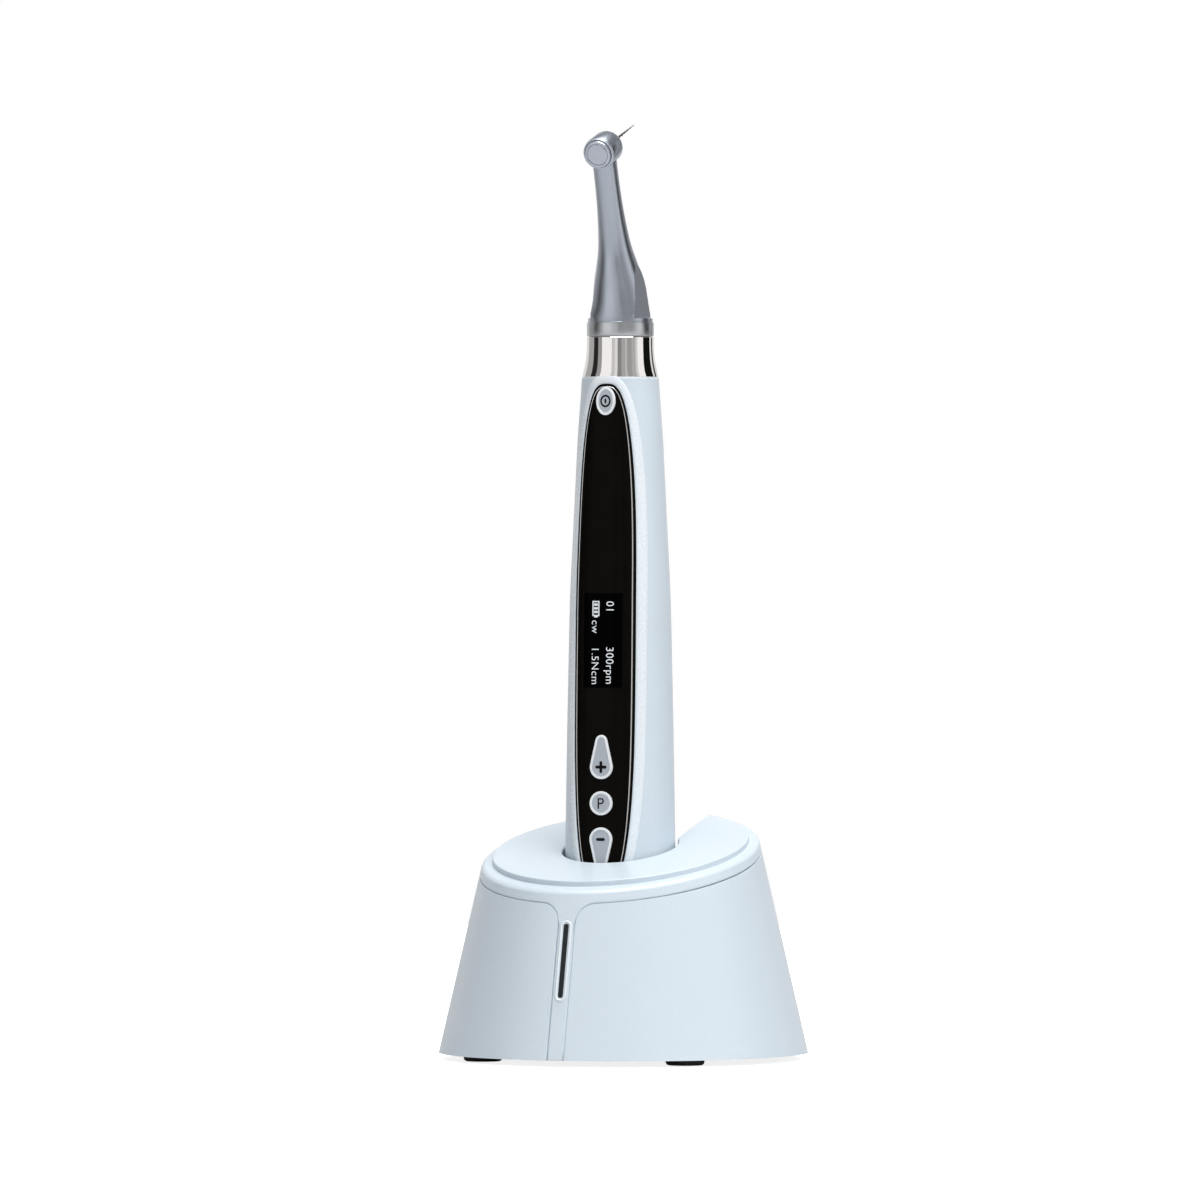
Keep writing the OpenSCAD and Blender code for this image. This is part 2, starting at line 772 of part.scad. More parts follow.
module neck_housing() {
    z0 = nose_h + ring_h;
    color(satin) difference() {
        union() {
            at_nose() rotate_extrude() polygon([[0, z0], [nose_r - 0.25, z0], [nose_r - 0.4, z0 + 0.9],
                [nose_r - 0.9, z0 + 1.8], [nose_r - 1.2, z0 + 4.4], [nose_r - 1.55, z0 + 7],
                [nose_r - 3.2, z0 + 8.6], [0, z0 + 8.6]]);
            at_neck() rotate_extrude() polygon(concat([[0, -4]], [for (p = neck_line) [p[1], p[0]]],
                [[0, neck_len]]));
        }
        at_nose() {
            translate([0, 0, -big + z0]) cylinder(r = big, h = big);
            translate([0, 0, z0 - 1]) cylinder(r = carrier_r + 0.5, h = bearing_z0 - z0 + 1);
            translate([0, 0, z0 - 1]) cylinder(r = bearing_r, h = bearing_z0 + bearing_t - z0 + 1);
            translate([0, 0, bearing_z0]) cylinder(r = cavity_r, h = nose_h + bend_up - bearing_z0);
        }
        at_neck() {
            sphere(r = cavity_r);
            cylinder(r = bush_r, h = 6.6);
            cylinder(r = neck_bore, h = neck_len);
            translate([0, 0, neck_len - 6.2]) cylinder(r = bush_r + tiny, h = big);
        }
        at_head() translate([0, 0, -10]) cylinder(r = head_r + tiny, h = 20);
        at_nose() for (s = [-1, 1]) translate([s * flat_x, 0, z0 + flat_up]) rotate([0, -s * flat_lean, 0])
            translate([s > 0 ? 0 : -big, -big / 2, 0]) cube([big, big, 14]);
    }
}

head_bore = 3.3;
cap_r = head_r - 0.65;
body_back = -(cap_back - 1.3);
body_front = 3.4;
nose_t = 6.6;

module head_housing() {
    color(satin) difference() {
        at_head() rotate_extrude() polygon([[0, body_back], [head_r - 0.05, body_back], [head_r, 0], [head_r, 2.4],
            [head_r - 0.15, body_front], [head_r - 0.6, body_front + 0.9], [head_r - 1.3, body_front + 2],
            [head_r - 2.1, nose_t], [0, nose_t]]);
        at_head() {
            translate([0, 0, body_back - 1]) cylinder(r = head_bore, h = 4.25 - body_back + 1);
            translate([0, 0, body_back - 1]) cylinder(r = cap_r + 0.1, h = 1.35);
            cylinder(r = 1.75, h = nose_t + 1);
        }
        at_neck() translate([0, 0, neck_len - 6]) cylinder(r = bush_r + 0.1, h = 6);
    }
}

module cap_ring() {
    color(satin) at_head() translate([0, 0, body_back - 0.6]) difference() {
        cylinder(r = head_r - 0.1, h = 0.6 - tiny);
        translate([0, 0, -1]) cylinder(r = cap_r + 0.15, h = 3);
    }
}

module push_cap() {
    groove = cap_r - 0.75;
    face = -cap_back;
    rear = face + cap_t;
    color(satin) at_head() rotate_extrude() polygon([[0, face], [groove - 0.15, face], [groove, face + 0.2],
        [groove + 0.15, face + 0.05], [cap_r - 0.2, face + 0.05], [cap_r, face + 0.25], [cap_r, rear],
        [spring_r + 0.3, rear], [spring_r + 0.3, rear - spring_room], [spring_r - 0.3, rear - spring_room],
        [spring_r - 0.3, rear], [0, rear]]);
}

// A closed tube of square-round section along a helix
module helix(r, wire, pitch, turns) {
    sides = 8;
    per_turn = 16;
    rings = per_turn * turns;
    pts = [for (i = [0:rings], j = [0:sides - 1]) let (a = 360 * i / per_turn, b = 360 * j / sides)
        [(r + wire * cos(b)) * cos(a), (r + wire * cos(b)) * sin(a), pitch * i / per_turn + wire * sin(b)]];
    walls = [for (i = [0:rings - 1], j = [0:sides - 1]) let (k = (j + 1) % sides)
        [i * sides + j, i * sides + k, (i + 1) * sides + k, (i + 1) * sides + j]];
    ends = [[for (j = [sides - 1:-1:0]) j], [for (j = [0:sides - 1]) rings * sides + j]];
    polyhedron(points = pts, faces = concat(walls, ends));
}

upper_bearing_t0 = -2.95;
cap_t = 0.9;
spring_r = 2.5;
spring_room = 0.55;
spring_wire = 0.1;
spring_pitch = 0.28;

module cap_spring() {
    color(steel) at_head() translate([0, 0, upper_bearing_t0 - 0.03 - spring_wire - spring_pitch])
        helix(spring_r, spring_wire, spring_pitch, 1);
}

// Spur gear outline: straight-sided teeth around the pitch circle
module spur(n, m, add, ded, thick) {
    r = m * n / 2;
    w = 90 / n;
    polygon([for (i = [0:n - 1], p = [[-1.5 * thick, r - ded], [-0.5 * thick, r + add],
        [0.5 * thick, r + add], [1.5 * thick, r - ded]])
        let (a = 360 * i / n + p[0] * w) [p[1] * cos(a), p[1] * sin(a)]]);
}

gear_add = 0.85 * gear_m;
gear_ded = 1.15 * gear_m;
tooth_fill = 0.86;
orbit_r = gear_m * sun_n;
ring_n = 3 * sun_n;
planet_z0 = nose_h + 1.1;
planet_t = 2.5;

// Bevel gear with its apex at the origin and its body towards +Z; every tooth points at the apex
module bevel(n, cone, add, ded, r_out, r_in, back, fill, phase) {
    w = 90 / n * fill;
    profile = [for (i = [0:n - 1], p = [[-1.45, cone - ded], [-0.55, cone + add], [0.55, cone + add],
        [1.45, cone - ded]]) [360 * i / n + phase + p[0] * w, p[1]]];
    function dir(p) = [sin(p[1]) * cos(p[0]), sin(p[1]) * sin(p[0]), cos(p[1])];
    count = len(profile);
    outer = [for (p = profile) r_out * dir(p)];
    inner = [for (p = profile) r_in * dir(p)];
    hubs = [[0, 0, r_out * cos(cone - ded) + back], [0, 0, r_in * cos(cone - ded)]];
    walls = [for (i = [0:count - 1]) let (k = (i + 1) % count) [i, k, count + k, count + i]];
    rear = [for (i = [0:count - 1]) let (k = (i + 1) % count) [2 * count, k, i]];
    front = [for (i = [0:count - 1]) let (k = (i + 1) % count) [2 * count + 1, count + i, count + k]];
    polyhedron(points = concat(outer, inner, hubs), faces = concat(walls, rear, front));
}

module input_shaft() {
    cup_h0 = tail_h0 - grip_len + 0.1;
    color(steel) at_nose() {
        difference() {
            union() {
                translate([0, 0, cup_h0]) cylinder(r = 2.3, h = 3.2);
                translate([0, 0, cup_h0]) cylinder(r = 1.25, h = nose_h + 1 - cup_h0);
            }
            translate([-3, -0.45, cup_h0 - 1]) cube([6, 0.9, 3]);
        }
        translate([0, 0, nose_h + 1]) linear_extrude(2.7)
            spur(sun_n, gear_m, gear_add, gear_ded, tooth_fill);
    }
}

module input_bearings() {
    color(steel) at_nose() for (z = [-5.5, 6.5]) translate([0, 0, z]) difference() {
        cylinder(r = tail_bore - tiny, h = 2.2);
        translate([0, 0, -1]) cylinder(r = 1.25 + run_fit, h = 5);
    }
}

module ring_gear() {
    color(steel) at_nose() translate([0, 0, nose_h + lip_gap + flange2_t + tiny]) linear_extrude(2.85) difference() {
        circle(nose_r - 0.72);
        rotate([0, 0, 180 / ring_n]) spur(ring_n, gear_m, gear_ded + 0.1, gear_add, 2 - tooth_fill);
    }
}

module carrier() {
    hub_top = nose_h + bend_up - bevel_r * cos(bevel_cone - bevel_ded);
    color(steel) at_nose() {
        translate([0, 0, carrier_z0]) cylinder(r = carrier_r, h = carrier_t);
        translate([0, 0, carrier_z0]) cylinder(r = 1.6, h = hub_top - carrier_z0);
        for (a = [0, 120, 240]) rotate([0, 0, a]) translate([orbit_r, 0, planet_z0 - 0.1])
            cylinder(r = 0.5, h = carrier_z0 - planet_z0 + 0.2, $fn = 32);
    }
    color(steel) at_nose() translate([0, 0, nose_h + bend_up]) mirror([0, 0, 1])
        bevel(bend_n, bevel_cone, bevel_add, bevel_ded, bevel_r, bevel_r - 1.2, 0.5, 0.9, -90);
}
bevel_add = 6;
bevel_ded = 8.5;

module carrier_bearing() {
    color(steel) at_nose() translate([0, 0, bearing_z0]) difference() {
        cylinder(r = bearing_r - tiny, h = bearing_t);
        translate([0, 0, -1]) cylinder(r = 1.6 + run_fit, h = 5);
    }
}

module planet(k) {
    a = 120 * k;
    color(gold) at_nose() rotate([0, 0, a]) translate([orbit_r, 0, planet_z0]) linear_extrude(planet_t) difference() {
        rotate([0, 0, 180 / sun_n]) spur(sun_n, gear_m, gear_add, gear_ded, tooth_fill);
        circle(0.5 + run_fit, $fn = 32);
    }
}
module planet_1() { planet(0); }
module planet_2() { planet(1); }
module planet_3() { planet(2); }

pinion_cone = atan(pinion_n / chuck_n);
head_out = 3.5;
head_in = 2.6;
head_add = 5.5;
head_ded = 7.5;

module neck_shaft() {
    color(steel) at_neck() {
        translate([0, 0, 0.9]) cylinder(r = 0.9, h = neck_len - 3.8);
        bevel(bend_n, bevel_cone, bevel_add, bevel_ded, bevel_r, bevel_r - 1.2, 0.5, 0.9, -90 + 180 / bend_n);
        translate([0, 0, neck_len]) mirror([0, 0, 1])
            bevel(pinion_n, pinion_cone, head_add, head_ded, head_out, head_in, 0.2, 0.9, 90);
    }
}

module neck_bearings() {
    color(steel) at_neck() for (z = [4.2, neck_len - 6.1]) translate([0, 0, z]) difference() {
        cylinder(r = bush_r - tiny, h = 1.8);
        translate([0, 0, -1]) cylinder(r = 0.9 + run_fit, h = 4);
    }
}

module chuck() {
    color(steel) at_head() difference() {
        union() {
            translate([0, 0, -1.9]) cylinder(r = 1.55, h = nose_t - 0.1 + 1.9);
            translate([0, 0, -2.95]) cylinder(r = 1.3, h = 2);
            bevel(chuck_n, 90 - pinion_cone, head_add, head_ded, head_out, head_in, 0.3, 0.9,
                90 + 180 / chuck_n);
        }
        translate([0, 0, -1.85]) cylinder(r = shank_r + tiny, h = big);
    }
}

module head_bearings() {
    color(steel) at_head() {
        translate([0, 0, upper_bearing_t0]) difference() {
            cylinder(r = head_bore - tiny, h = 0.6);
            translate([0, 0, -1]) cylinder(r = 1.3 + run_fit, h = 3);
        }
        translate([0, 0, 2.9]) difference() {
            cylinder(r = head_bore - tiny, h = 1.3);
            translate([0, 0, -1]) cylinder(r = 1.55 + run_fit, h = 4);
        }
    }
}

module chuck_latch() {
    color(gold) at_head() translate([0, 0, -1.8]) difference() {
        cylinder(r = 1.9, h = 0.4);
        translate([0, 0, -1]) cylinder(r = 1.55 + tiny, h = 3);
    }
}

module file() {
    tip = nose_t + file_out;
    color(gold) at_head() {
        translate([0, 0, -1.4]) cylinder(r = shank_r, h = nose_t + 1.2);
        translate([0, 0, nose_t - 0.3]) cylinder(r1 = shank_r, r2 = 0.5, h = 0.5);
        cylinder(r = 0.5, h = nose_t + 5.4);
    }
    color(steel) at_head() translate([0, 0, nose_t + 5.3]) cylinder(r1 = 0.5, r2 = 0.12, h = tip - nose_t - 5.3);
}

deck_cover();
skirt_panel();
socket_liner();
light_lens();
light_guide();
led_board();
base_plate();
ballast();
base_feet();
base_screws();
charge_board();
power_inlet();
pin_block();
charge_pins();
grip_shell();
panel_trim();
display_panel();
display_module();
main_board();
switch_board();
tact_switches();
power_button();
plus_button();
program_button();
minus_button();
battery_cell();
battery_clips();
end_cap();
contact_pads();
motor_can();
motor_mount();
motor_rotor();
nose_collar();
swivel_ring();
tail_sleeve();
o_rings();
coupling_ring();
neck_housing();
head_housing();
cap_ring();
push_cap();
cap_spring();
input_shaft();
input_bearings();
ring_gear();
carrier();
carrier_bearing();
planet_1();
planet_2();
planet_3();
neck_shaft();
neck_bearings();
chuck();
head_bearings();
chuck_latch();
file();
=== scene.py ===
"""Looks of a cordless endodontic motor in its charging stand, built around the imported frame."""

import logging
import math
from dataclasses import dataclass, field
from enum import Enum
from typing import Callable, Iterable, Optional, Sequence

import bmesh
import bpy
from mathutils import Matrix, Vector

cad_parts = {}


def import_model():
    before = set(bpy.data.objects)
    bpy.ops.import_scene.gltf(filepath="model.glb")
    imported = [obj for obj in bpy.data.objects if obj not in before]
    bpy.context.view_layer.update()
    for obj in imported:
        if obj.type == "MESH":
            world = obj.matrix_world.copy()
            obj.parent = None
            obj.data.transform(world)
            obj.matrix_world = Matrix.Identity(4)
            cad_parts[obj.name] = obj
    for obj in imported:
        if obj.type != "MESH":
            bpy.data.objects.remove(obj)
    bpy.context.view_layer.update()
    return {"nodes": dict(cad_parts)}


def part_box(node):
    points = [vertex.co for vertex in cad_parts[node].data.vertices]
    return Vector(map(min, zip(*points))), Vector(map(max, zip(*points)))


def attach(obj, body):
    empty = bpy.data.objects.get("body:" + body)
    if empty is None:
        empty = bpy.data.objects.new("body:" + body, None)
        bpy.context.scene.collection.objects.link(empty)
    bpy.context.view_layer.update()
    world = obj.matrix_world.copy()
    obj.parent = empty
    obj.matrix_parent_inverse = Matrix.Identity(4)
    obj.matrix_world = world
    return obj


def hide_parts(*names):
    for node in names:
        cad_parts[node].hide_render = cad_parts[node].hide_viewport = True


log = logging.getLogger("endo_motor")

MM = 0.001
BEVEL_FULL = 2.0  # millimetres at an edge weight of 1
FULL_TURN = 2 * math.pi


class Pattern(Enum):
    """The kinds of surface pattern that a finish can carry."""

    GRAIN = "grain"
    BRUSHED = "brushed"
    TURNED = "turned"
    TRACES = "traces"
    MARBLED = "marbled"


@dataclass(frozen=True)
class Finish:
    """One surface finish: colour with a random tone, gloss and fine relief."""

    name: str
    colour: tuple[float, float, float]
    metallic: float = 0.0
    gloss: tuple[float, float] = (0.35, 0.45)
    grain: float = 0.5
    relief: float = 0.004
    tone: float = 0.05
    pattern: Pattern = Pattern.GRAIN
    second: Optional[tuple[float, float, float]] = None
    coat: float = 0.0
    coat_gloss: float = 0.1
    clear: float = 0.0
    shine: float = 0.5
    stretch: tuple[float, float, float] = (1.0, 1.0, 1.0)

    def material(self) -> bpy.types.Material:
        """Makes the finish's node material, or returns the one that is already made.

        Returns:
            The material.
        """
        known = bpy.data.materials.get(self.name)
        if known:
            return known
        made = bpy.data.materials.new(self.name)
        made.use_nodes = True
        tree = made.node_tree
        shader = tree.nodes["Principled BSDF"]
        shader.inputs["Metallic"].default_value = self.metallic
        shader.inputs["Coat Weight"].default_value = self.coat
        shader.inputs["Coat Roughness"].default_value = self.coat_gloss
        shader.inputs["Transmission Weight"].default_value = self.clear
        shader.inputs["Specular IOR Level"].default_value = self.shine
        pattern = self._pattern(tree)
        self._paint(tree, shader, pattern)
        self._gloss(tree, shader, pattern)
        self._relief(tree, shader, pattern)
        return made

    def _pattern(self, tree: bpy.types.NodeTree) -> bpy.types.NodeSocket:
        """Lays the pattern over the piece in its own coordinates.

        Args:
            tree: The material's node tree.

        Returns:
            The socket that gives the pattern, from 0 to 1.
        """
        place = tree.nodes.new("ShaderNodeTexCoord")
        turn = tree.nodes.new("ShaderNodeMapping")
        turn.inputs["Scale"].default_value = self.stretch
        tree.links.new(place.outputs["Object"], turn.inputs["Vector"])
        if self.pattern is Pattern.TRACES:
            brick = tree.nodes.new("ShaderNodeTexBrick")
            brick.inputs["Scale"].default_value = 0.35 / (self.grain * MM)
            brick.inputs["Mortar Size"].default_value = 0.03
            tree.links.new(turn.outputs["Vector"], brick.inputs["Vector"])
            return brick.outputs["Fac"]
        noise = tree.nodes.new("ShaderNodeTexNoise")
        noise.inputs["Scale"].default_value = 1 / (self.grain * MM)
        noise.inputs["Detail"].default_value = 5 if self.pattern is Pattern.MARBLED else 2
        tree.links.new(turn.outputs["Vector"], noise.inputs["Vector"])
        return noise.outputs["Fac"]

    def _paint(self, tree: bpy.types.NodeTree, shader: bpy.types.Node, pattern: bpy.types.NodeSocket) -> None:
        """Varies the colour between a darker and a lighter tone, or the two colours.

        Args:
            tree: The material's node tree.
            shader: The surface shader.
            pattern: The pattern's socket.
        """
        ramp = tree.nodes.new("ShaderNodeValToRGB")
        low = tuple(c * (1 - self.tone) for c in self.colour)
        high = self.second or tuple(min(1.0, c * (1 + self.tone)) for c in self.colour)
        ramp.color_ramp.elements[0].color = (*low, 1)
        ramp.color_ramp.elements[1].color = (*high, 1)
        ramp.color_ramp.elements[0].position = 0.3
        ramp.color_ramp.elements[1].position = 0.7
        tree.links.new(pattern, ramp.inputs["Fac"])
        tree.links.new(ramp.outputs["Color"], shader.inputs["Base Color"])

    def _gloss(self, tree: bpy.types.NodeTree, shader: bpy.types.Node, pattern: bpy.types.NodeSocket) -> None:
        """Varies the roughness between the finish's two limits.

        Args:
            tree: The material's node tree.
            shader: The surface shader.
            pattern: The pattern's socket.
        """
        span = tree.nodes.new("ShaderNodeMapRange")
        span.inputs["To Min"].default_value = self.gloss[0]
        span.inputs["To Max"].default_value = self.gloss[1]
        tree.links.new(pattern, span.inputs["Value"])
        tree.links.new(span.outputs["Result"], shader.inputs["Roughness"])

    def _relief(self, tree: bpy.types.NodeTree, shader: bpy.types.Node,
                pattern: bpy.types.NodeSocket) -> None:
        """Raises the pattern by the finish's relief, in millimetres.

        Args:
            tree: The material's node tree.
            shader: The surface shader.
            pattern: The pattern's socket.
        """
        bump = tree.nodes.new("ShaderNodeBump")
        bump.inputs["Strength"].default_value = 1.0
        bump.inputs["Distance"].default_value = self.relief * MM
        tree.links.new(pattern, bump.inputs["Height"])
        tree.links.new(bump.outputs["Normal"], shader.inputs["Normal"])


PEARL = Finish("pearl_plastic", (0.62, 0.70, 0.77), gloss=(0.36, 0.44), grain=0.35, relief=0.0035,
               tone=0.02, coat=0.18, coat_gloss=0.24)
# Painted highlight: the shell's own pearl plastic, coloured lighter and given more coat for the bright bezel
# band and the lens lip.
PEARL_PAINTED_HIGHLIGHT = Finish("pearl_painted_highlight", (0.78, 0.84, 0.89), gloss=(0.24, 0.30), grain=0.6, relief=0.002,
                     tone=0.015, coat=0.5, coat_gloss=0.12)
PEARL_BASE = Finish("pearl_base_plastic", (0.58, 0.64, 0.70), gloss=(0.42, 0.52), grain=0.5, relief=0.006,
                    tone=0.03)
CHROME = Finish("mirror_chrome_plate", (0.86, 0.85, 0.85), metallic=1.0, gloss=(0.03, 0.06), grain=3.0,
                relief=0.0005, tone=0.01)
# Painted reflection: a chrome line laid inside the panel's edge, standing in for the reflection on the glossy
# panel's rounded edge.
CHROME_REFLECTION_LINE = Finish("chrome_painted_reflection_line", (0.72, 0.73, 0.75), metallic=1.0, gloss=(0.12, 0.18), grain=1.0,
              relief=0.001, tone=0.02)
SATIN = Finish("satin_blasted_metal", (0.47, 0.515, 0.585), metallic=1.0, gloss=(0.27, 0.34), grain=0.25,
               relief=0.0006, tone=0.02)
RING_METAL = Finish("ring_brushed_metal", (0.56, 0.585, 0.61), metallic=1.0, gloss=(0.26, 0.32), grain=0.3,
                    relief=0.0006, tone=0.03, stretch=(0.15, 0.15, 3.0), pattern=Pattern.TURNED)
CAP_METAL = Finish("cap_satin_metal", (0.54, 0.58, 0.66), metallic=0.85, gloss=(0.30, 0.38), grain=0.25,
                   relief=0.0006, tone=0.03)
PANEL = Finish("panel_black_gloss", (0.0042, 0.0036, 0.0030), gloss=(0.10, 0.14), grain=6.0, relief=0.001,
               tone=0.1, shine=0.02)
DISPLAY = Finish("display_glass", (0.0004, 0.0004, 0.0005), gloss=(0.06, 0.09), grain=8.0, relief=0.0005,
                 tone=0.1, shine=0.012)
READOUT = Finish("readout_ink", (0.80, 0.84, 0.88), gloss=(0.4, 0.5), grain=0.3, relief=0.001, tone=0.04)
KEY_FACE = Finish("key_face_grey", (0.42, 0.46, 0.51), metallic=0.1, gloss=(0.34, 0.42), grain=0.3,
                  relief=0.002, tone=0.04, coat=0.2, coat_gloss=0.2)
KEY_RIM = Finish("key_rim_white", (0.82, 0.85, 0.88), gloss=(0.22, 0.30), grain=0.5, relief=0.001, tone=0.02)
KEY_INK = Finish("key_icon_ink", (0.006, 0.006, 0.008), gloss=(0.35, 0.45), grain=0.3, relief=0.001,
                 tone=0.1, shine=0.1)
LENS = Finish("smoked_lens_plastic", (0.018, 0.021, 0.023), gloss=(0.12, 0.18), grain=2.0, relief=0.001,
              tone=0.1, shine=0.12)
RUBBER = Finish("foot_soft_rubber", (0.016, 0.017, 0.020), gloss=(0.55, 0.72), grain=0.3, relief=0.012,
                tone=0.15)
FILE_STEEL = Finish("file_flute_steel", (0.16, 0.155, 0.15), metallic=1.0, gloss=(0.28, 0.42), grain=0.1,
                    relief=0.002, tone=0.15)
FILE_BRASS = Finish("file_shank_brass", (0.46, 0.33, 0.16), metallic=1.0, gloss=(0.22, 0.34), grain=0.12,
                    relief=0.002, tone=0.08, stretch=(1.0, 1.0, 0.3), pattern=Pattern.BRUSHED)

INNER_FINISHES = {
    "pearl_cover": PEARL, "pearl_wrap": PEARL, "pearl_base": PEARL_BASE, "pearl_grip": PEARL,
    "liner_rubber": Finish("liner_rubber_moulded", (0.02, 0.02, 0.022), gloss=(0.5, 0.7), grain=0.4,
                           relief=0.01, tone=0.12),
    "smoked_lens": LENS,
    "clear_guide": Finish("clear_guide_acrylic", (0.86, 0.88, 0.90), gloss=(0.08, 0.14), grain=1.5,
                          relief=0.001, tone=0.02, clear=0.8),
    "green_board": Finish("circuit_board_green", (0.02, 0.14, 0.06), gloss=(0.25, 0.45), grain=0.8,
                          relief=0.02, tone=0.1, pattern=Pattern.TRACES, second=(0.05, 0.26, 0.11),
                          coat=0.3),
    "ballast_steel": Finish("ballast_cast_steel", (0.16, 0.16, 0.17), metallic=1.0, gloss=(0.45, 0.65),
                            grain=0.8, relief=0.03, tone=0.2, pattern=Pattern.MARBLED),
    "foot_rubber": RUBBER,
    "screw_steel": Finish("screw_zinc_steel", (0.42, 0.42, 0.43), metallic=1.0, gloss=(0.25, 0.4),
                          grain=0.3, relief=0.003, tone=0.08),
    "inlet_steel": Finish("inlet_plated_steel", (0.6, 0.61, 0.62), metallic=1.0, gloss=(0.18, 0.3),
                          grain=0.4, relief=0.002, tone=0.05, pattern=Pattern.BRUSHED,
                          stretch=(1.0, 0.2, 1.0)),
    "black_nylon": Finish("nylon_black_moulded", (0.02, 0.02, 0.021), gloss=(0.4, 0.55), grain=0.4,
                          relief=0.006, tone=0.12),
    "gold_contact": Finish("contact_gold_plate", (0.83, 0.60, 0.24), metallic=1.0, gloss=(0.12, 0.22),
                           grain=0.5, relief=0.001, tone=0.05),
    "trim_chrome": CHROME_REFLECTION_LINE, "panel_black": PANEL, "display_black": DISPLAY,
    "switch_steel": Finish("switch_stamped_steel", (0.5, 0.5, 0.51), metallic=1.0, gloss=(0.25, 0.38),
                           grain=0.3, relief=0.003, tone=0.06),
    "button_grey": KEY_FACE,
    "cell_wrap": Finish("cell_shrink_wrap", (0.02, 0.08, 0.30), gloss=(0.2, 0.35), grain=1.4,
                        relief=0.01, tone=0.08, coat=0.4),
    "clip_brass": Finish("clip_nickel_brass", (0.62, 0.55, 0.36), metallic=1.0, gloss=(0.2, 0.34),
                         grain=0.4, relief=0.003, tone=0.08),
    "motor_steel": Finish("motor_can_steel", (0.45, 0.45, 0.46), metallic=1.0, gloss=(0.22, 0.36),
                          grain=0.5, relief=0.003, tone=0.08, pattern=Pattern.TURNED,
                          stretch=(0.3, 0.3, 3.0)),
    "mount_rubber": Finish("mount_ring_rubber", (0.04, 0.04, 0.042), gloss=(0.5, 0.7), grain=0.4,
                           relief=0.01, tone=0.12),
    "rotor_steel": Finish("rotor_ground_steel", (0.5, 0.5, 0.52), metallic=1.0, gloss=(0.18, 0.3),
                          grain=0.4, relief=0.002, tone=0.06),
    "mirror_chrome": CHROME,
    "bronze": Finish("bronze_bush", (0.48, 0.30, 0.13), metallic=1.0, gloss=(0.25, 0.4), grain=0.4,
                     relief=0.004, tone=0.1, pattern=Pattern.MARBLED),
    "sleeve_steel": Finish("sleeve_turned_steel", (0.5, 0.51, 0.53), metallic=1.0, gloss=(0.15, 0.28),
                           grain=0.4, relief=0.002, tone=0.06, pattern=Pattern.TURNED,
                           stretch=(0.2, 0.2, 3.0)),
    "oring_rubber": Finish("o_ring_rubber", (0.012, 0.012, 0.012), gloss=(0.35, 0.5), grain=0.4,
                           relief=0.004, tone=0.1),
    "satin_metal": SATIN, "cap_metal": CAP_METAL,
    "gear_steel": Finish("gear_hard_steel", (0.4, 0.4, 0.42), metallic=1.0, gloss=(0.2, 0.34),
                         grain=0.2, relief=0.003, tone=0.08),
    "bearing_steel": Finish("bearing_bright_steel", (0.58, 0.58, 0.60), metallic=1.0,
                            gloss=(0.08, 0.18), grain=0.4, relief=0.001, tone=0.04),
    "gear_brass": Finish("gear_cut_brass", (0.66, 0.48, 0.20), metallic=1.0, gloss=(0.2, 0.32),
                         grain=0.2, relief=0.003, tone=0.08),
    "file_metal": FILE_BRASS,
}


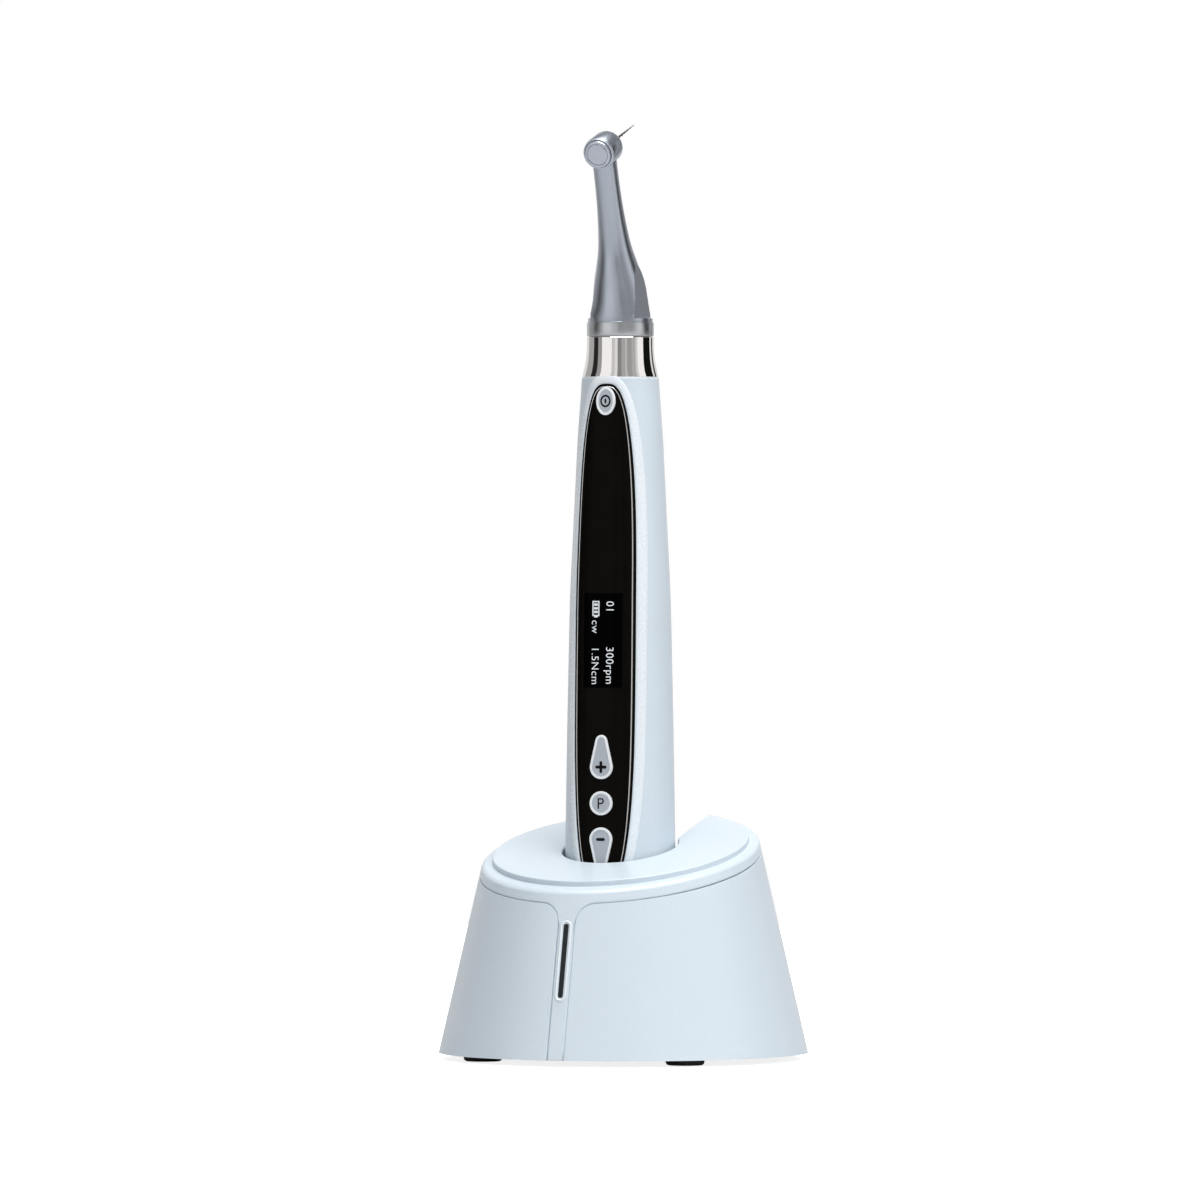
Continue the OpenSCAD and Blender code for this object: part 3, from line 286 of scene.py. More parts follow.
class Bench:
    """Shared ways of making a mesh and handing it over as a finished piece."""

    @staticmethod
    def blank() -> bmesh.types.BMesh:
        """Starts an empty mesh whose edges can be marked for rounding."""
        bm = bmesh.new()
        bm.edges.layers.float.new("bevel_weight_edge")
        return bm

    @staticmethod
    def sheet(columns: int, rows: int, place: Callable[[int, int], Sequence[float]]) -> bmesh.types.BMesh:
        """Makes a grid of quads and puts each of its corners in place by a rule.

        Args:
            columns: Number of quads across.
            rows: Number of quads along.
            place: Gives the place, in millimetres, of corner (column, row).

        Returns:
            The shaped grid.
        """
        bm = Bench.blank()
        bmesh.ops.create_grid(bm, x_segments=columns, y_segments=rows, size=1.0)
        for corner in bm.verts:
            column = round((corner.co.x + 1) / 2 * columns)
            row = round((corner.co.y + 1) / 2 * rows)
            corner.co = Vector(place(column, row)) * MM
        return bm

    @staticmethod
    def turned(profile: Iterable[Sequence[float]], steps: int = 96) -> bmesh.types.BMesh:
        """Turns a profile of (radius, height) points about the Z axis.

        Args:
            profile: The profile's points, in millimetres.
            steps: Number of steps round the axis.

        Returns:
            The turned shape, with its poles closed.
        """
        bm = bmesh.new()
        ends = [bm.verts.new((radius * MM, 0, height * MM)) for radius, height in profile]
        edges = [bm.edges.new(pair) for pair in zip(ends, ends[1:])]
        bmesh.ops.spin(bm, geom=ends + edges, cent=(0, 0, 0), axis=(0, 0, 1), angle=FULL_TURN,
                       steps=steps, use_merge=True)
        bmesh.ops.remove_doubles(bm, verts=bm.verts, dist=0.0005 * MM)
        return bm

    @staticmethod
    def join(main: bmesh.types.BMesh, other: bmesh.types.BMesh) -> None:
        """Adds the second mesh to the first and frees it."""
        mesh = bpy.data.meshes.new("join")
        other.to_mesh(mesh)
        other.free()
        main.from_mesh(mesh)
        bpy.data.meshes.remove(mesh)

    @staticmethod
    def close(bm: bmesh.types.BMesh, gap: float = 0.004) -> None:
        """Merges corners that lie on each other and drops what that leaves flat."""
        bmesh.ops.remove_doubles(bm, verts=bm.verts, dist=gap * MM)
        bmesh.ops.dissolve_degenerate(bm, edges=bm.edges, dist=0.0005 * MM)

    @staticmethod
    def soften(bm: bmesh.types.BMesh, edges: Iterable[bmesh.types.BMEdge], width: float) -> None:
        """Marks edges to be rounded over by a width in millimetres."""
        layer = bm.edges.layers.float["bevel_weight_edge"]
        for edge in edges:
            edge[layer] = max(edge[layer], width / BEVEL_FULL)

    @staticmethod
    def face_out(bm: bmesh.types.BMesh, centre: Callable[[Vector], Vector]) -> None:
        """Turns all faces outwards, away from the centre that each face has.

        Args:
            bm: The mesh.
            centre: Gives the inner point that a face at a place looks away from.
        """
        bmesh.ops.recalc_face_normals(bm, faces=bm.faces)
        away = 0.0
        for face in bm.faces:
            middle = face.calc_center_median()
            away += face.calc_area() * face.normal.dot((middle - centre(middle)).normalized())
        if away < 0:
            bmesh.ops.reverse_faces(bm, faces=bm.faces)

    @staticmethod
    def finish(name: str, bm: bmesh.types.BMesh, finishes: Sequence[Finish], body: str, nodes: Sequence[str],
               slot: str, crease: float = 32.0) -> bpy.types.Object:
        """Turns a mesh into a finished piece that rides on a body.

        Args:
            name: Name of the piece.
            bm: Its mesh, which is freed.
            finishes: Its finishes, by material index.
            body: The CAD body that it rides on.
            nodes: The CAD nodes that it stands for.
            slot: The record's material slot; not used.
            crease: Angle in degrees past which an edge is shaded sharp.

        Returns:
            The piece.
        """
        layer = bm.edges.layers.float.get("bevel_weight_edge")
        weighted = layer is not None and any(edge[layer] > 0 for edge in bm.edges)
        for face in bm.faces:
            face.smooth = True
        mesh = bpy.data.meshes.new(name)
        bm.to_mesh(mesh)
        bm.free()
        piece = bpy.data.objects.new(name, mesh)
        bpy.context.scene.collection.objects.link(piece)
        for finish in finishes:
            mesh.materials.append(finish.material())
        mesh.set_sharp_from_angle(angle=math.radians(crease))
        if weighted:
            rounding = piece.modifiers.new("rounding", "BEVEL")
            rounding.limit_method = "WEIGHT"
            rounding.width = BEVEL_FULL * MM
            rounding.segments = 4
            rounding.profile = 0.5
            rounding.use_clamp_overlap = True
            rounding.harden_normals = True
        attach(piece, body)
        if nodes:
            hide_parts(*nodes)
        log.info("piece %s: %d faces on %s", name, len(mesh.polygons), body)
        return piece


def smooth_line(line: Sequence[tuple[float, float]], at: float, reach: float) -> float:
    """Reads a broken line with its corners smoothed.

    Args:
        line: The line's points, as (place, value), in rising order.
        at: The place to read.
        reach: Half of the length over which the line is averaged.

    Returns:
        The smoothed value.
    """
    taps = 8
    total = 0.0
    for tap in range(-taps, taps + 1):
        total += read_line(line, at + reach * tap / taps)
    return total / (2 * taps + 1)


def read_line(line: Sequence[tuple[float, float]], at: float) -> float:
    """Reads a broken line, and carries its end stretches on straight.

    Args:
        line: The line's points, as (place, value), in rising order.
        at: The place to read.

    Returns:
        The value there.
    """
    for (place0, value0), (place1, value1) in zip(line, line[1:]):
        if at <= place1:
            break
    return value0 + (value1 - value0) * (at - place0) / (place1 - place0)


@dataclass
class Stand:
    """The charging stand: a leaning core with a slanting deck, and the wrap panel around it."""

    foot_radius: float = 48.0
    foot_height: float = 1.5
    lean: float = 0.2306
    deck_height: float = 55.7
    deck_slope: float = 0.25
    plate_radius: float = 33.4
    plate_shift: float = 2.1
    plate_rise: float = 1.5
    band: float = 3.2
    wrap_wall: float = 1.4
    seam: float = 0.0
    strip_half: float = 2.4
    corner: float = 4.8
    notch_half: float = 13.0
    notch_mid: float = 38.5
    socket_radius: float = 15.1
    socket_y: float = -2.2
    socket_low: float = 27.0
    side_columns: int = 44
    corner_columns: int = 8
    strip_columns: int = 4
    lens_low: float = 17.1
    lens_high: float = 36.6
    lens_half: float = 1.0
    inlet_height: float = 8.83
    inlet_half: float = 2.84
    inlet_round: float = 2.53
    body: str = "base"

    def __post_init__(self) -> None:
        """Works out the number of columns of the deck."""
        self.columns = 2 * (self.side_columns + self.corner_columns) + self.strip_columns

    def cone(self, height: float) -> float:
        """Radius of the leaning side at a height."""
        return self.foot_radius - self.lean * (height - self.foot_height)

    def on_cone(self, x: float, height: float, back: bool = False,
                inset: float = 0.0) -> tuple[float, float, float]:
        """The point of the leaning side at an X and a height, at the front or the back."""
        deep = math.sqrt(max(0.0, (self.cone(height) - inset) ** 2 - x * x))
        return (x, deep if back else -deep, height)

    def edge_at(self, drop: float, dip: float, x: Optional[float] = None, angle: float = 0.0,
                back: bool = False) -> tuple[float, float, float]:
        """The point where the side meets the deck's slanting plane.

        Args:
            drop: How far the plane lies below the deck plate.
            dip: How far the point lies below that plane.
            x: The point's X, or None where the angle gives it.
            angle: Angle about the axis, in radians, where X is None.
            back: Whether the point is at the back.

        Returns:
            The point, in millimetres.
        """
        height = self.deck_height - drop
        point = (0.0, 0.0, height)
        for _ in range(8):
            if x is None:
                radius = self.cone(height)
                point = (radius * math.cos(angle), radius * math.sin(angle), height)
            else:
                point = self.on_cone(x, height, back)
            height = self.deck_height - drop - dip + self.deck_slope * point[1]
        return point

    def corner_x(self, column: int) -> tuple[float, float]:
        """X of a column in the front middle, and how far the band's edge dips there.

        Args:
            column: Number of the column, counted from the first round corner.

        Returns:
            X and the dip, in millimetres.
        """
        last = 2 * self.corner_columns + self.strip_columns
        mirrored = column > last / 2
        if mirrored:
            column = last - column
        if column < self.corner_columns:
            turn = math.pi / 2 * column / self.corner_columns
            x = self.strip_half + self.corner * (1 - math.sin(turn))
            dip = self.corner * (1 - math.cos(turn))
        else:
            x = self.strip_half * (1 - 2 * (column - self.corner_columns) / self.strip_columns)
            dip = self.corner
        return (-x if mirrored else x), dip

    def around(self, column: int, meet: Callable[[Optional[float], float, bool, float], Sequence[float]]
               ) -> Sequence[float]:
        """Places a column of the deck on one of its curves.

        Args:
            column: Number of the column, from the notch round the front to the notch.
            meet: Gives the curve's point at (x, angle, back, dip).

        Returns:
            The point, in millimetres.
        """
        middle = column - self.side_columns
        if 0 <= middle <= 2 * self.corner_columns + self.strip_columns:
            x, dip = self.corner_x(middle)
            return meet(x, 0.0, False, dip)
        side = 1 if middle < 0 else -1
        share = (column if side > 0 else self.columns - column) / self.side_columns
        start = meet(self.notch_half, 0.0, True, 0.0)
        end = meet(self.strip_half + self.corner, 0.0, False, 0.0)
        if share == 0:
            return (side * start[0], start[1], start[2])
        first = math.atan2(start[1], start[0])
        last = math.atan2(end[1], end[0])
        point = meet(None, first + (last - first) * share, False, 0.0)
        return (side * point[0], point[1], point[2])

    def side_edge(self, drop: float) -> Callable[[Optional[float], float, bool, float], Sequence[float]]:
        """The curve where the side meets the plane that lies a drop below the deck plate."""
        below = drop > self.plate_rise
        return lambda x, angle, back, dip: self.edge_at(drop, dip if below else 0.0, x, angle, back)

    def circle_edge(self, radius: float, shift: float, place: Callable[[float, float], Sequence[float]]
                    ) -> Callable[[Optional[float], float, bool, float], Sequence[float]]:
        """A round curve of the deck.

        Args:
            radius: Its radius.
            shift: Y of its centre.
            place: Lifts a point (x, y) of the circle to its place.

        Returns:
            The rule that gives the curve's points.
        """
        def meet(x: Optional[float], angle: float, back: bool, dip: float) -> Sequence[float]:
            """Gives the curve's point at an X or at an angle about the stand's axis."""
            if x is None:
                across, along = math.cos(angle), math.sin(angle)
                middle = along * shift
                reach = middle + math.sqrt(middle * middle + radius * radius - shift * shift)
                return place(across * reach, along * reach)
            deep = math.sqrt(radius * radius - x * x)
            return place(x, shift + (deep if back else -deep))
        return meet

    def plate_place(self, depth: float) -> Callable[[float, float], Sequence[float]]:
        """Lifts a point of the deck plate's own plane to its place, a depth below its face."""
        tilt = math.atan(self.deck_slope)
        return lambda x, y: (x, y * math.cos(tilt) + depth * math.sin(tilt),
                             self.deck_height + y * math.sin(tilt) - depth * math.cos(tilt))

    def deck_rows(self) -> list[Callable[[Optional[float], float, bool, float], Sequence[float]]]:
        """The deck's curves, from the socket's wall out to the band's lower edge."""
        depth = self.plate_rise * math.cos(math.atan(self.deck_slope))
        slanted = lambda x, y: (x, y, self.deck_height + self.deck_slope * y)
        return [
            self.circle_edge(self.socket_radius, self.socket_y, lambda x, y: (x, y, self.socket_low)),
            self.circle_edge(self.socket_radius, self.socket_y, slanted),
            self.circle_edge(self.plate_radius, -self.plate_shift, self.plate_place(0.0)),
            self.circle_edge(self.plate_radius, -self.plate_shift, self.plate_place(depth)),
            self.side_edge(self.plate_rise),
            self.side_edge(self.plate_rise + self.band),
        ]

    def deck(self) -> bmesh.types.BMesh:
        """Makes the socket's wall, the deck, the raised plate, the rim and the band.

        Returns:
            The mesh, with its rings of edges marked for rounding.
        """
        rows = self.deck_rows()
        rounding = {1: 0.9, 2: 0.5, 3: 0.3, 4: 1.7}
        bm = Bench.sheet(self.columns, len(rows) - 1, lambda column, row: self.around(column, rows[row]))
        places = {}
        for row in rounding:
            for column in range(self.columns + 1):
                point = Vector(self.around(column, rows[row])) * MM
                places[tuple(round(c, 7) for c in point)] = row
        for edge in bm.edges:
            ends = [places.get(tuple(round(c, 7) for c in corner.co)) for corner in edge.verts]
            if ends[0] is not None and ends[0] == ends[1]:
                Bench.soften(bm, [edge], rounding[ends[0]])
        return bm

    def strip(self) -> bmesh.types.BMesh:
        """Makes the front strip below the band.

        Returns:
            The strip's mesh.
        """
        rows = 12
        edge = self.side_edge(self.plate_rise + self.band)

        def place(column: int, row: int) -> Sequence[float]:
            """Gives a corner of the strip."""
            x, dip = self.corner_x(self.corner_columns + column)
            top = edge(x, 0.0, False, dip)[2]
            return self.on_cone(x, top + (self.foot_height - top) * row / rows)
        return Bench.sheet(self.strip_columns, rows, place)

    def trough(self) -> bmesh.types.BMesh:
        """Makes the walls and the round floor of the finger notch.

        Returns:
            The notch's mesh, with its top edges marked for rounding.
        """
        curves = self.deck_rows()[1:]
        wall_rows, floor_rows = 8, 32
        rows = 2 * wall_rows + floor_rows
        inset = self.wrap_wall + self.seam
        tops = [curve(self.notch_half, 0.0, True, 0.0) for curve in curves]

        def inner(x: float) -> float:
            """Y of the socket's wall at an X."""
            return self.socket_y + math.sqrt(self.socket_radius ** 2 - x * x)

        def place(column: int, row: int) -> Sequence[float]:
            """Gives a corner of the notch."""
            side = 1 if row <= rows / 2 else -1
            row = min(row, rows - row)
            top = tops[column]
            if row == 0:
                return (side * top[0], top[1], top[2])
            if row <= wall_rows:
                x = self.notch_half
                height = top[2] + (self.notch_mid - top[2]) * row / wall_rows
            else:
                turn = math.pi * (row - wall_rows) / floor_rows
                x = self.notch_half * math.cos(turn)
                height = self.notch_mid - self.notch_half * math.sin(turn)
            rim = self.on_cone(self.notch_half, top[2], True, inset)[1]
            share = min(1.0, (top[1] - inner(self.notch_half)) / (rim - inner(self.notch_half)))
            if column == len(tops) - 1:
                share = 1.0
            outer = self.on_cone(x, height, True, inset)[1]
            return (side * x, inner(x) + (outer - inner(x)) * share, height)

        bm = Bench.sheet(len(tops) - 1, rows, place)
        lip = [edge for edge in bm.edges if edge.is_boundary
               and all(abs(abs(corner.co.x) - self.notch_half * MM) < 1e-6 for corner in edge.verts)
               and abs(edge.verts[0].co.y - edge.verts[1].co.y) > 1e-5
               and max(corner.co.z for corner in edge.verts) > 50 * MM]
        Bench.soften(bm, lip, 0.7)
        return bm

    def lip_in(self, bm: bmesh.types.BMesh, depth: float, width: float,
               wanted: Callable[[Vector], bool]) -> None:
        """Turns the wanted open edges inwards, as a moulded edge has its thickness.

        Args:
            bm: The mesh.
            depth: How far the edge goes in, in millimetres.
            width: Rounding of the edge.
            wanted: Says whether an edge with this middle is turned in.
        """
        edges = [edge for edge in bm.edges if edge.is_boundary
                 and wanted((edge.verts[0].co + edge.verts[1].co) / 2)]
        bottom = [edge for edge in edges
                  if max(corner.co.z for corner in edge.verts) < (self.foot_height + 0.01) * MM]
        Bench.soften(bm, set(edges) - set(bottom), width)
        Bench.soften(bm, bottom, 0.2)
        grown = bmesh.ops.extrude_edge_only(bm, edges=edges)
        for corner in grown["geom"]:
            if isinstance(corner, bmesh.types.BMVert):
                flat = Vector((corner.co.x, corner.co.y, 0))
                corner.co -= flat.normalized() * depth * MM

    def build_core(self) -> None:
        """Builds the core with its deck, strip and notch."""
        bm = self.deck()
        Bench.join(bm, self.strip())
        Bench.join(bm, self.trough())
        Bench.close(bm)
        outer = lambda middle: abs(math.hypot(middle.x, middle.y) / MM - self.cone(middle.z / MM)) < 0.12
        self.lip_in(bm, self.wrap_wall + self.seam, 0.9, outer)
        axis = lambda middle: Vector((0, self.socket_y * MM, 0)) if middle.z < 0.02 else Vector((0, 0, 0.02))
        Bench.face_out(bm, axis)
        Bench.finish("stand_core", bm, [PEARL], self.body, ["deck_cover"], "pearl_cover")

    def wrap_side(self, side: int) -> bmesh.types.BMesh:
        """Makes one side of the wrap panel, from the strip to the notch.

        Args:
            side: 1 for the side towards +X, -1 for the other.

        Returns:
            The mesh.
        """
        low_rows, high_rows = 24, 8
        columns = self.corner_columns + self.side_columns
        edge = self.side_edge(self.plate_rise + self.band + self.seam)
        back = edge(self.notch_half, 0.0, True, 0.0)
        split = (self.notch_mid - self.foot_height) / (back[2] - self.foot_height)

        def place(column: int, row: int) -> Sequence[float]:
            """Gives a corner of the side."""
            if row <= low_rows:
                share = split * row / low_rows
            else:
                share = split + (1 - split) * (row - low_rows) / high_rows
            if column <= self.corner_columns:
                x, dip = self.corner_x(self.corner_columns - column)
                x += self.seam
                top = edge(x, 0.0, False, dip)[2]
                height = self.foot_height + (top - self.foot_height) * share
                point = self.on_cone(x, height)
            else:
                top = self.around(columns - column, edge)[2]
                height = self.foot_height + (top - self.foot_height) * share
                radius = self.cone(height)
                first = math.asin((self.strip_half + self.corner + self.seam) / radius) - math.pi / 2
                last = math.acos(self.notch_half / radius)
                turn = first + (last - first) * (column - self.corner_columns) / self.side_columns
                point = (radius * math.cos(turn), radius * math.sin(turn), height)
            return (side * point[0], point[1], point[2])
        return Bench.sheet(columns, low_rows + high_rows, place)

    def wrap_back(self) -> bmesh.types.BMesh:
        """Makes the wrap panel below the notch, with the opening of the power inlet.

        Returns:
            The mesh.
        """
        rows, columns = 24, 56

        def place(column: int, row: int) -> Sequence[float]:
            """Gives a corner of the back."""
            turn = math.pi * column / columns
            top = self.notch_mid - self.notch_half * math.sin(turn)
            height = self.foot_height + (top - self.foot_height) * row / rows
            return self.on_cone(self.notch_half * math.cos(turn), height, True)

        bm = Bench.sheet(columns, rows, place)
        inside = []
        for face in bm.faces:
            middle = face.calc_center_median() / MM
            if self.inlet_distance(middle.x, middle.z) < 0:
                inside.append(face)
        bmesh.ops.delete(bm, geom=inside, context="FACES")
        for corner in bm.verts:
            near = abs(corner.co.x) < 8 * MM and 3 * MM < corner.co.z < 15 * MM
            if corner.is_boundary and near:
                x, height = corner.co.x / MM, corner.co.z / MM
                core = max(-self.inlet_half, min(self.inlet_half, x))
                away = Vector((x - core, height - self.inlet_height)).normalized() * self.inlet_round
                corner.co = Vector(self.on_cone(core + away.x, self.inlet_height + away.y, True)) * MM
        return bm

    def inlet_distance(self, x: float, height: float) -> float:
        """Distance of a point of the back from the inlet's outline, negative inside."""
        core = max(-self.inlet_half, min(self.inlet_half, x))
        return math.hypot(x - core, height - self.inlet_height) - self.inlet_round

    def build_wrap(self) -> None:
        """Builds the wrap panel from its two sides and its back."""
        bm = self.wrap_side(1)
        Bench.join(bm, self.wrap_side(-1))
        Bench.join(bm, self.wrap_back())
        Bench.close(bm, 0.01)
        self.lip_in(bm, self.wrap_wall, 0.9, lambda middle: True)
        Bench.face_out(bm, lambda middle: Vector((0, 0, middle.z)))
        Bench.finish("stand_wrap", bm, [PEARL], self.body, ["skirt_panel"], "pearl_wrap")

    def slot_outline(self, grow: float, turn: float) -> tuple[float, float]:
        """X and height of the light slot's outline, grown, at a turn round it."""
        half = self.lens_half + grow
        middle = self.lens_high - self.lens_half if math.sin(turn) > 0 else self.lens_low + self.lens_half
        return half * math.cos(turn), middle + half * math.sin(turn)

    def on_strip(self, x: float, height: float, proud: float) -> tuple[float, float, float]:
        """The point of the strip at an X and a height, standing proud by a distance."""
        point = self.on_cone(x, height)
        return (point[0], point[1] - proud, point[2])

    def build_light(self) -> None:
        """Builds the smoked lens and the moulded lip round its slot; the lip's lighter pearl is a painted
        highlight.
        """
        around, lens_rings = 64, [(-0.98, 0.03), (-0.5, 0.03), (-0.2, -0.02), (-0.06, -0.12), (0.02, -0.35)]
        lip_rings = [(0.0, -0.35), (0.02, 0.06), (0.12, 0.24), (0.32, 0.28), (0.5, 0.18), (0.6, -0.1)]
        for name, rings, finish, node, slot in (
                ("light_window", lens_rings, LENS, ["light_lens"], "smoked_lens"),
                ("light_lip", lip_rings, PEARL_PAINTED_HIGHLIGHT, [], "pearl_cover")):
            def place(column: int, row: int) -> Sequence[float]:
                """Gives a corner of the lens or of its lip."""
                grow, proud = rings[row]
                x, height = self.slot_outline(grow, FULL_TURN * (column + 0.5) / around)
                return self.on_strip(x, height, proud)
            bm = Bench.sheet(around, len(rings) - 1, place)
            Bench.close(bm)
            if name == "light_window":
                bmesh.ops.holes_fill(bm, edges=[edge for edge in bm.edges if edge.is_boundary], sides=0)
            Bench.face_out(bm, lambda middle: Vector((0, 0, middle.z)))
            Bench.finish(name, bm, [finish], self.body, node, slot, crease=60)

    def build_feet(self) -> None:
        """Builds the four rubber feet, each with a rounded and grooved sole."""
        low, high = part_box("base_feet")
        radius = 5.0
        profile = [(0, 2.0), (radius, 2.0), (radius, 0.7), (radius - 0.2, 0.25), (radius - 0.6, 0.0),
                   (radius - 1.4, 0.0), (radius - 1.6, 0.25), (radius - 1.9, 0.25), (radius - 2.1, 0.0),
                   (0, 0)]
        whole = bmesh.new()
        for x in (low.x + radius * MM, high.x - radius * MM):
            for y in (low.y + radius * MM, high.y - radius * MM):
                foot = Bench.turned(profile, 48)
                bmesh.ops.translate(foot, verts=foot.verts, vec=(x, y, 0))
                Bench.join(whole, foot)
        bmesh.ops.recalc_face_normals(whole, faces=whole.faces)
        Bench.finish("stand_feet", whole, [RUBBER], self.body, ["base_feet"], "foot_rubber")

    def build(self) -> None:
        """Builds all the pieces of the stand."""
        self.build_core()
        self.build_wrap()
        self.build_light()
        self.build_feet()


@dataclass
class Handpiece:
    """The grip with its panel, buttons and metal nose."""

    axis_y: float = -2.2
    seat: float = 18.0
    length: float = 158.9
    cap: float = 4.05
    flat: float = 0.7
    arc_back: float = 10.0
    panel_half: float = 8.6
    panel_mid: float = 82.0
    panel_top: float = 157.3
    panel_low: float = 25.5
    nose_height: float = 10.5
    inner_radius: float = 8.6
    display_half: float = 5.3
    display_low: float = 78.5
    display_high: float = 102.9
    key_radius: float = 3.1
    key_tip: float = 1.6
    key_tail: float = 6.7
    key_pitch: float = 9.35
    key_mid: float = 48.6
    power_half: tuple[float, float] = (2.6, 3.65)
    power_down: float = 6.3
    proud: float = 0.56
    key_sink: float = 0.6
    key_edge: float = 0.12
    key_rim: float = 0.42
    key_recess: float = 0.09
    ink_lift: float = 0.03
    stroke_half: float = 0.40
    body: str = "handpiece"
    line: list[tuple[float, float]] = field(default_factory=lambda: [
        (0, 10.0), (4.9, 10.26), (14.9, 11.05), (30.9, 11.8), (56.9, 13.1), (92.9, 13.85), (121.9, 14.3),
        (152, 14.4), (170, 14.4)])

    def radius(self, height: float) -> float:
        """Radius of the grip at a height above its foot, smoothed."""
        below = self.length - height
        return smooth_line(self.line, below, min(5.0, max(0.01, below)))

    def flattening(self, height: float) -> float:
        """How much the front is flattened at a height."""
        return self.flat * (0.4 + 0.6 * min(1.0, (self.length - height) / 60))

    def reach(self, turn: float, height: float) -> float:
        """Distance of the grip's surface from its axis.

        Args:
            turn: Direction about the axis, in radians, with the front at -90 degrees.
            height: Height above the foot.

        Returns:
            The distance, in millimetres.
        """
        whole = self.radius(height)
        arc = self.arc_back + whole - self.flattening(height)
        along = self.arc_back * math.sin(turn)
        front = along + math.sqrt(along * along + arc * arc - self.arc_back ** 2)
        blend = 0.12
        return min(whole, front) - blend * math.exp(-abs(whole - front) / blend) / 2

    def front_y(self, x: float, height: float) -> float:
        """Y of the grip's front surface at an X and a height."""
        y = -self.radius(height)
        for _ in range(6):
            turn = math.atan2(y, x)
            distance = self.reach(turn, height)
            y = -math.sqrt(max(0.0, distance * distance - x * x))
        return y

    def on_front(self, x: float, height: float, proud: float) -> tuple[float, float, float]:
        """The point of the front at an X and a height, standing proud by a distance."""
        y = self.front_y(x, height)
        away = Vector((x, y)).normalized() * proud
        return (x + away.x, self.axis_y + y + away.y, self.seat + height)

    def build_grip(self) -> None:
        """Builds the grip's shell, closed in towards the nose and the end cap."""
        around = 144
        heights = [self.cap, self.cap, *range(8, 32, 6), *range(32, 96, 8), *range(96, 114, 6),
                   *range(114, 130, 4), *range(130, 151, 3), 151, 153, 155, 157, self.length, self.length,
                   self.length - 2]

        def place(column: int, row: int) -> Sequence[float]:
            """Gives a corner of the shell."""
            turn = FULL_TURN * column / around
            distance = self.reach(turn, heights[row])
            if row == 0:
                distance -= 1.4
            if row >= len(heights) - 2:
                distance = self.inner_radius
            return (distance * math.cos(turn), self.axis_y + distance * math.sin(turn),
                    self.seat + heights[row])

        bm = Bench.sheet(around, len(heights) - 1, place)
        Bench.close(bm)
        ends = ((self.cap, self.radius(self.cap) - 0.9, 0.25), (self.length, 9.0, 0.55))
        for height, row_radius, width in ends:
            ring = [edge for edge in bm.edges
                    if all(abs(corner.co.z - (self.seat + height) * MM) < 1e-6
                           and math.hypot(corner.co.x, corner.co.y - self.axis_y * MM) > row_radius * MM
                           for corner in edge.verts)]
            Bench.soften(bm, ring, width)
        Bench.face_out(bm, lambda middle: Vector((0, self.axis_y * MM, middle.z)))
        Bench.finish("grip_body", bm, [PEARL], self.body, ["grip_shell"], "pearl_grip")

    def leaf(self, grow: float, turn: float) -> tuple[float, float]:
        """X and height of the panel's leaf outline, grown, at a turn round it."""
        full = lambda value: math.copysign(abs(value) ** (2 / 3), value)
        up = full(math.sin(turn))
        half = self.panel_top - self.panel_mid if up > 0 else self.panel_mid - self.panel_low
        return (self.panel_half + grow) * full(math.cos(turn)), self.panel_mid + up * (half + grow)

    def leaf_rings(self, name: str, rings: Sequence[tuple[float, float]], finish: Finish,
                   nodes: Sequence[str], slot: str, core: int = 0) -> None:
        """Builds a piece of the panel from rings that follow the leaf outline.

        Args:
            name: Name of the piece.
            rings: Each ring's growth and how far it stands proud.
            finish: The piece's finish.
            nodes: The CAD nodes that it stands for.
            slot: The record's material slot.
            core: Number of rings between the last one and the middle, or 0 for an open ring.
        """
        around = 240

        def place(column: int, row: int) -> Sequence[float]:
            """Gives a corner of the piece."""
            turn = FULL_TURN * column / around
            if row < len(rings):
                grow, proud = rings[row]
                x, height = self.leaf(grow, turn)
            else:
                grow, proud = rings[-1]
                x, height = self.leaf(grow, turn)
                share = 1 - (row - len(rings) + 1) / core
                x = x * share
                height = self.panel_mid + (height - self.panel_mid) * (0.35 + 0.65 * share)
            return self.on_front(x, height, proud)

        bm = Bench.sheet(around, len(rings) - 1 + core, place)
        Bench.close(bm)
        Bench.face_out(bm, lambda middle: Vector((0, self.axis_y * MM, middle.z)))
        Bench.finish(name, bm, [finish], self.body, nodes, slot, crease=50)

    def build_panel(self) -> None:
        """Builds the bezel with its painted highlight, the glossy panel, a chrome line that paints the
        reflection on the panel's rounded edge, and the display window.
        """
        # The bezel band takes the lighter pearl: a painted highlight round the panel.
        self.leaf_rings("panel_bezel", [(-0.02, -0.4), (0.0, 0.02), (0.12, 0.14), (0.4, 0.19), (1.1, 0.20),
                                        (1.7, 0.16), (1.95, 0.06), (2.1, -0.06)],
                        PEARL_PAINTED_HIGHLIGHT, [], "pearl_grip")
        self.leaf_rings("panel_glass", [(-0.02, -0.35), (-0.06, -0.1), (-0.2, 0.0), (-0.45, 0.06),
                                        (-0.8, 0.08)],
                        PANEL, ["display_panel"], "panel_black", core=8)
        # Painted reflection: this chrome line stands in for the reflected line on the panel's rounded edge.
        self.leaf_rings("panel_reflection_line", [(-0.86, 0.05), (-0.90, 0.12), (-1.0, 0.15), (-1.1, 0.12),
                                       (-1.14, 0.05)],
                        CHROME_REFLECTION_LINE, ["panel_trim"], "trim_chrome")
        columns, rows = 16, 30

        def place(column: int, row: int) -> Sequence[float]:
            """Gives a corner of the display window."""
            x = self.display_half * (2 * column / columns - 1)
            height = self.display_low + (self.display_high - self.display_low) * row / rows
            return self.on_front(x, height, 0.11)

        bm = Bench.sheet(columns, rows, place)
        Bench.face_out(bm, lambda middle: Vector((0, self.axis_y * MM, middle.z)))
        Bench.finish("display_window", bm, [DISPLAY], self.body, [], "display_black")

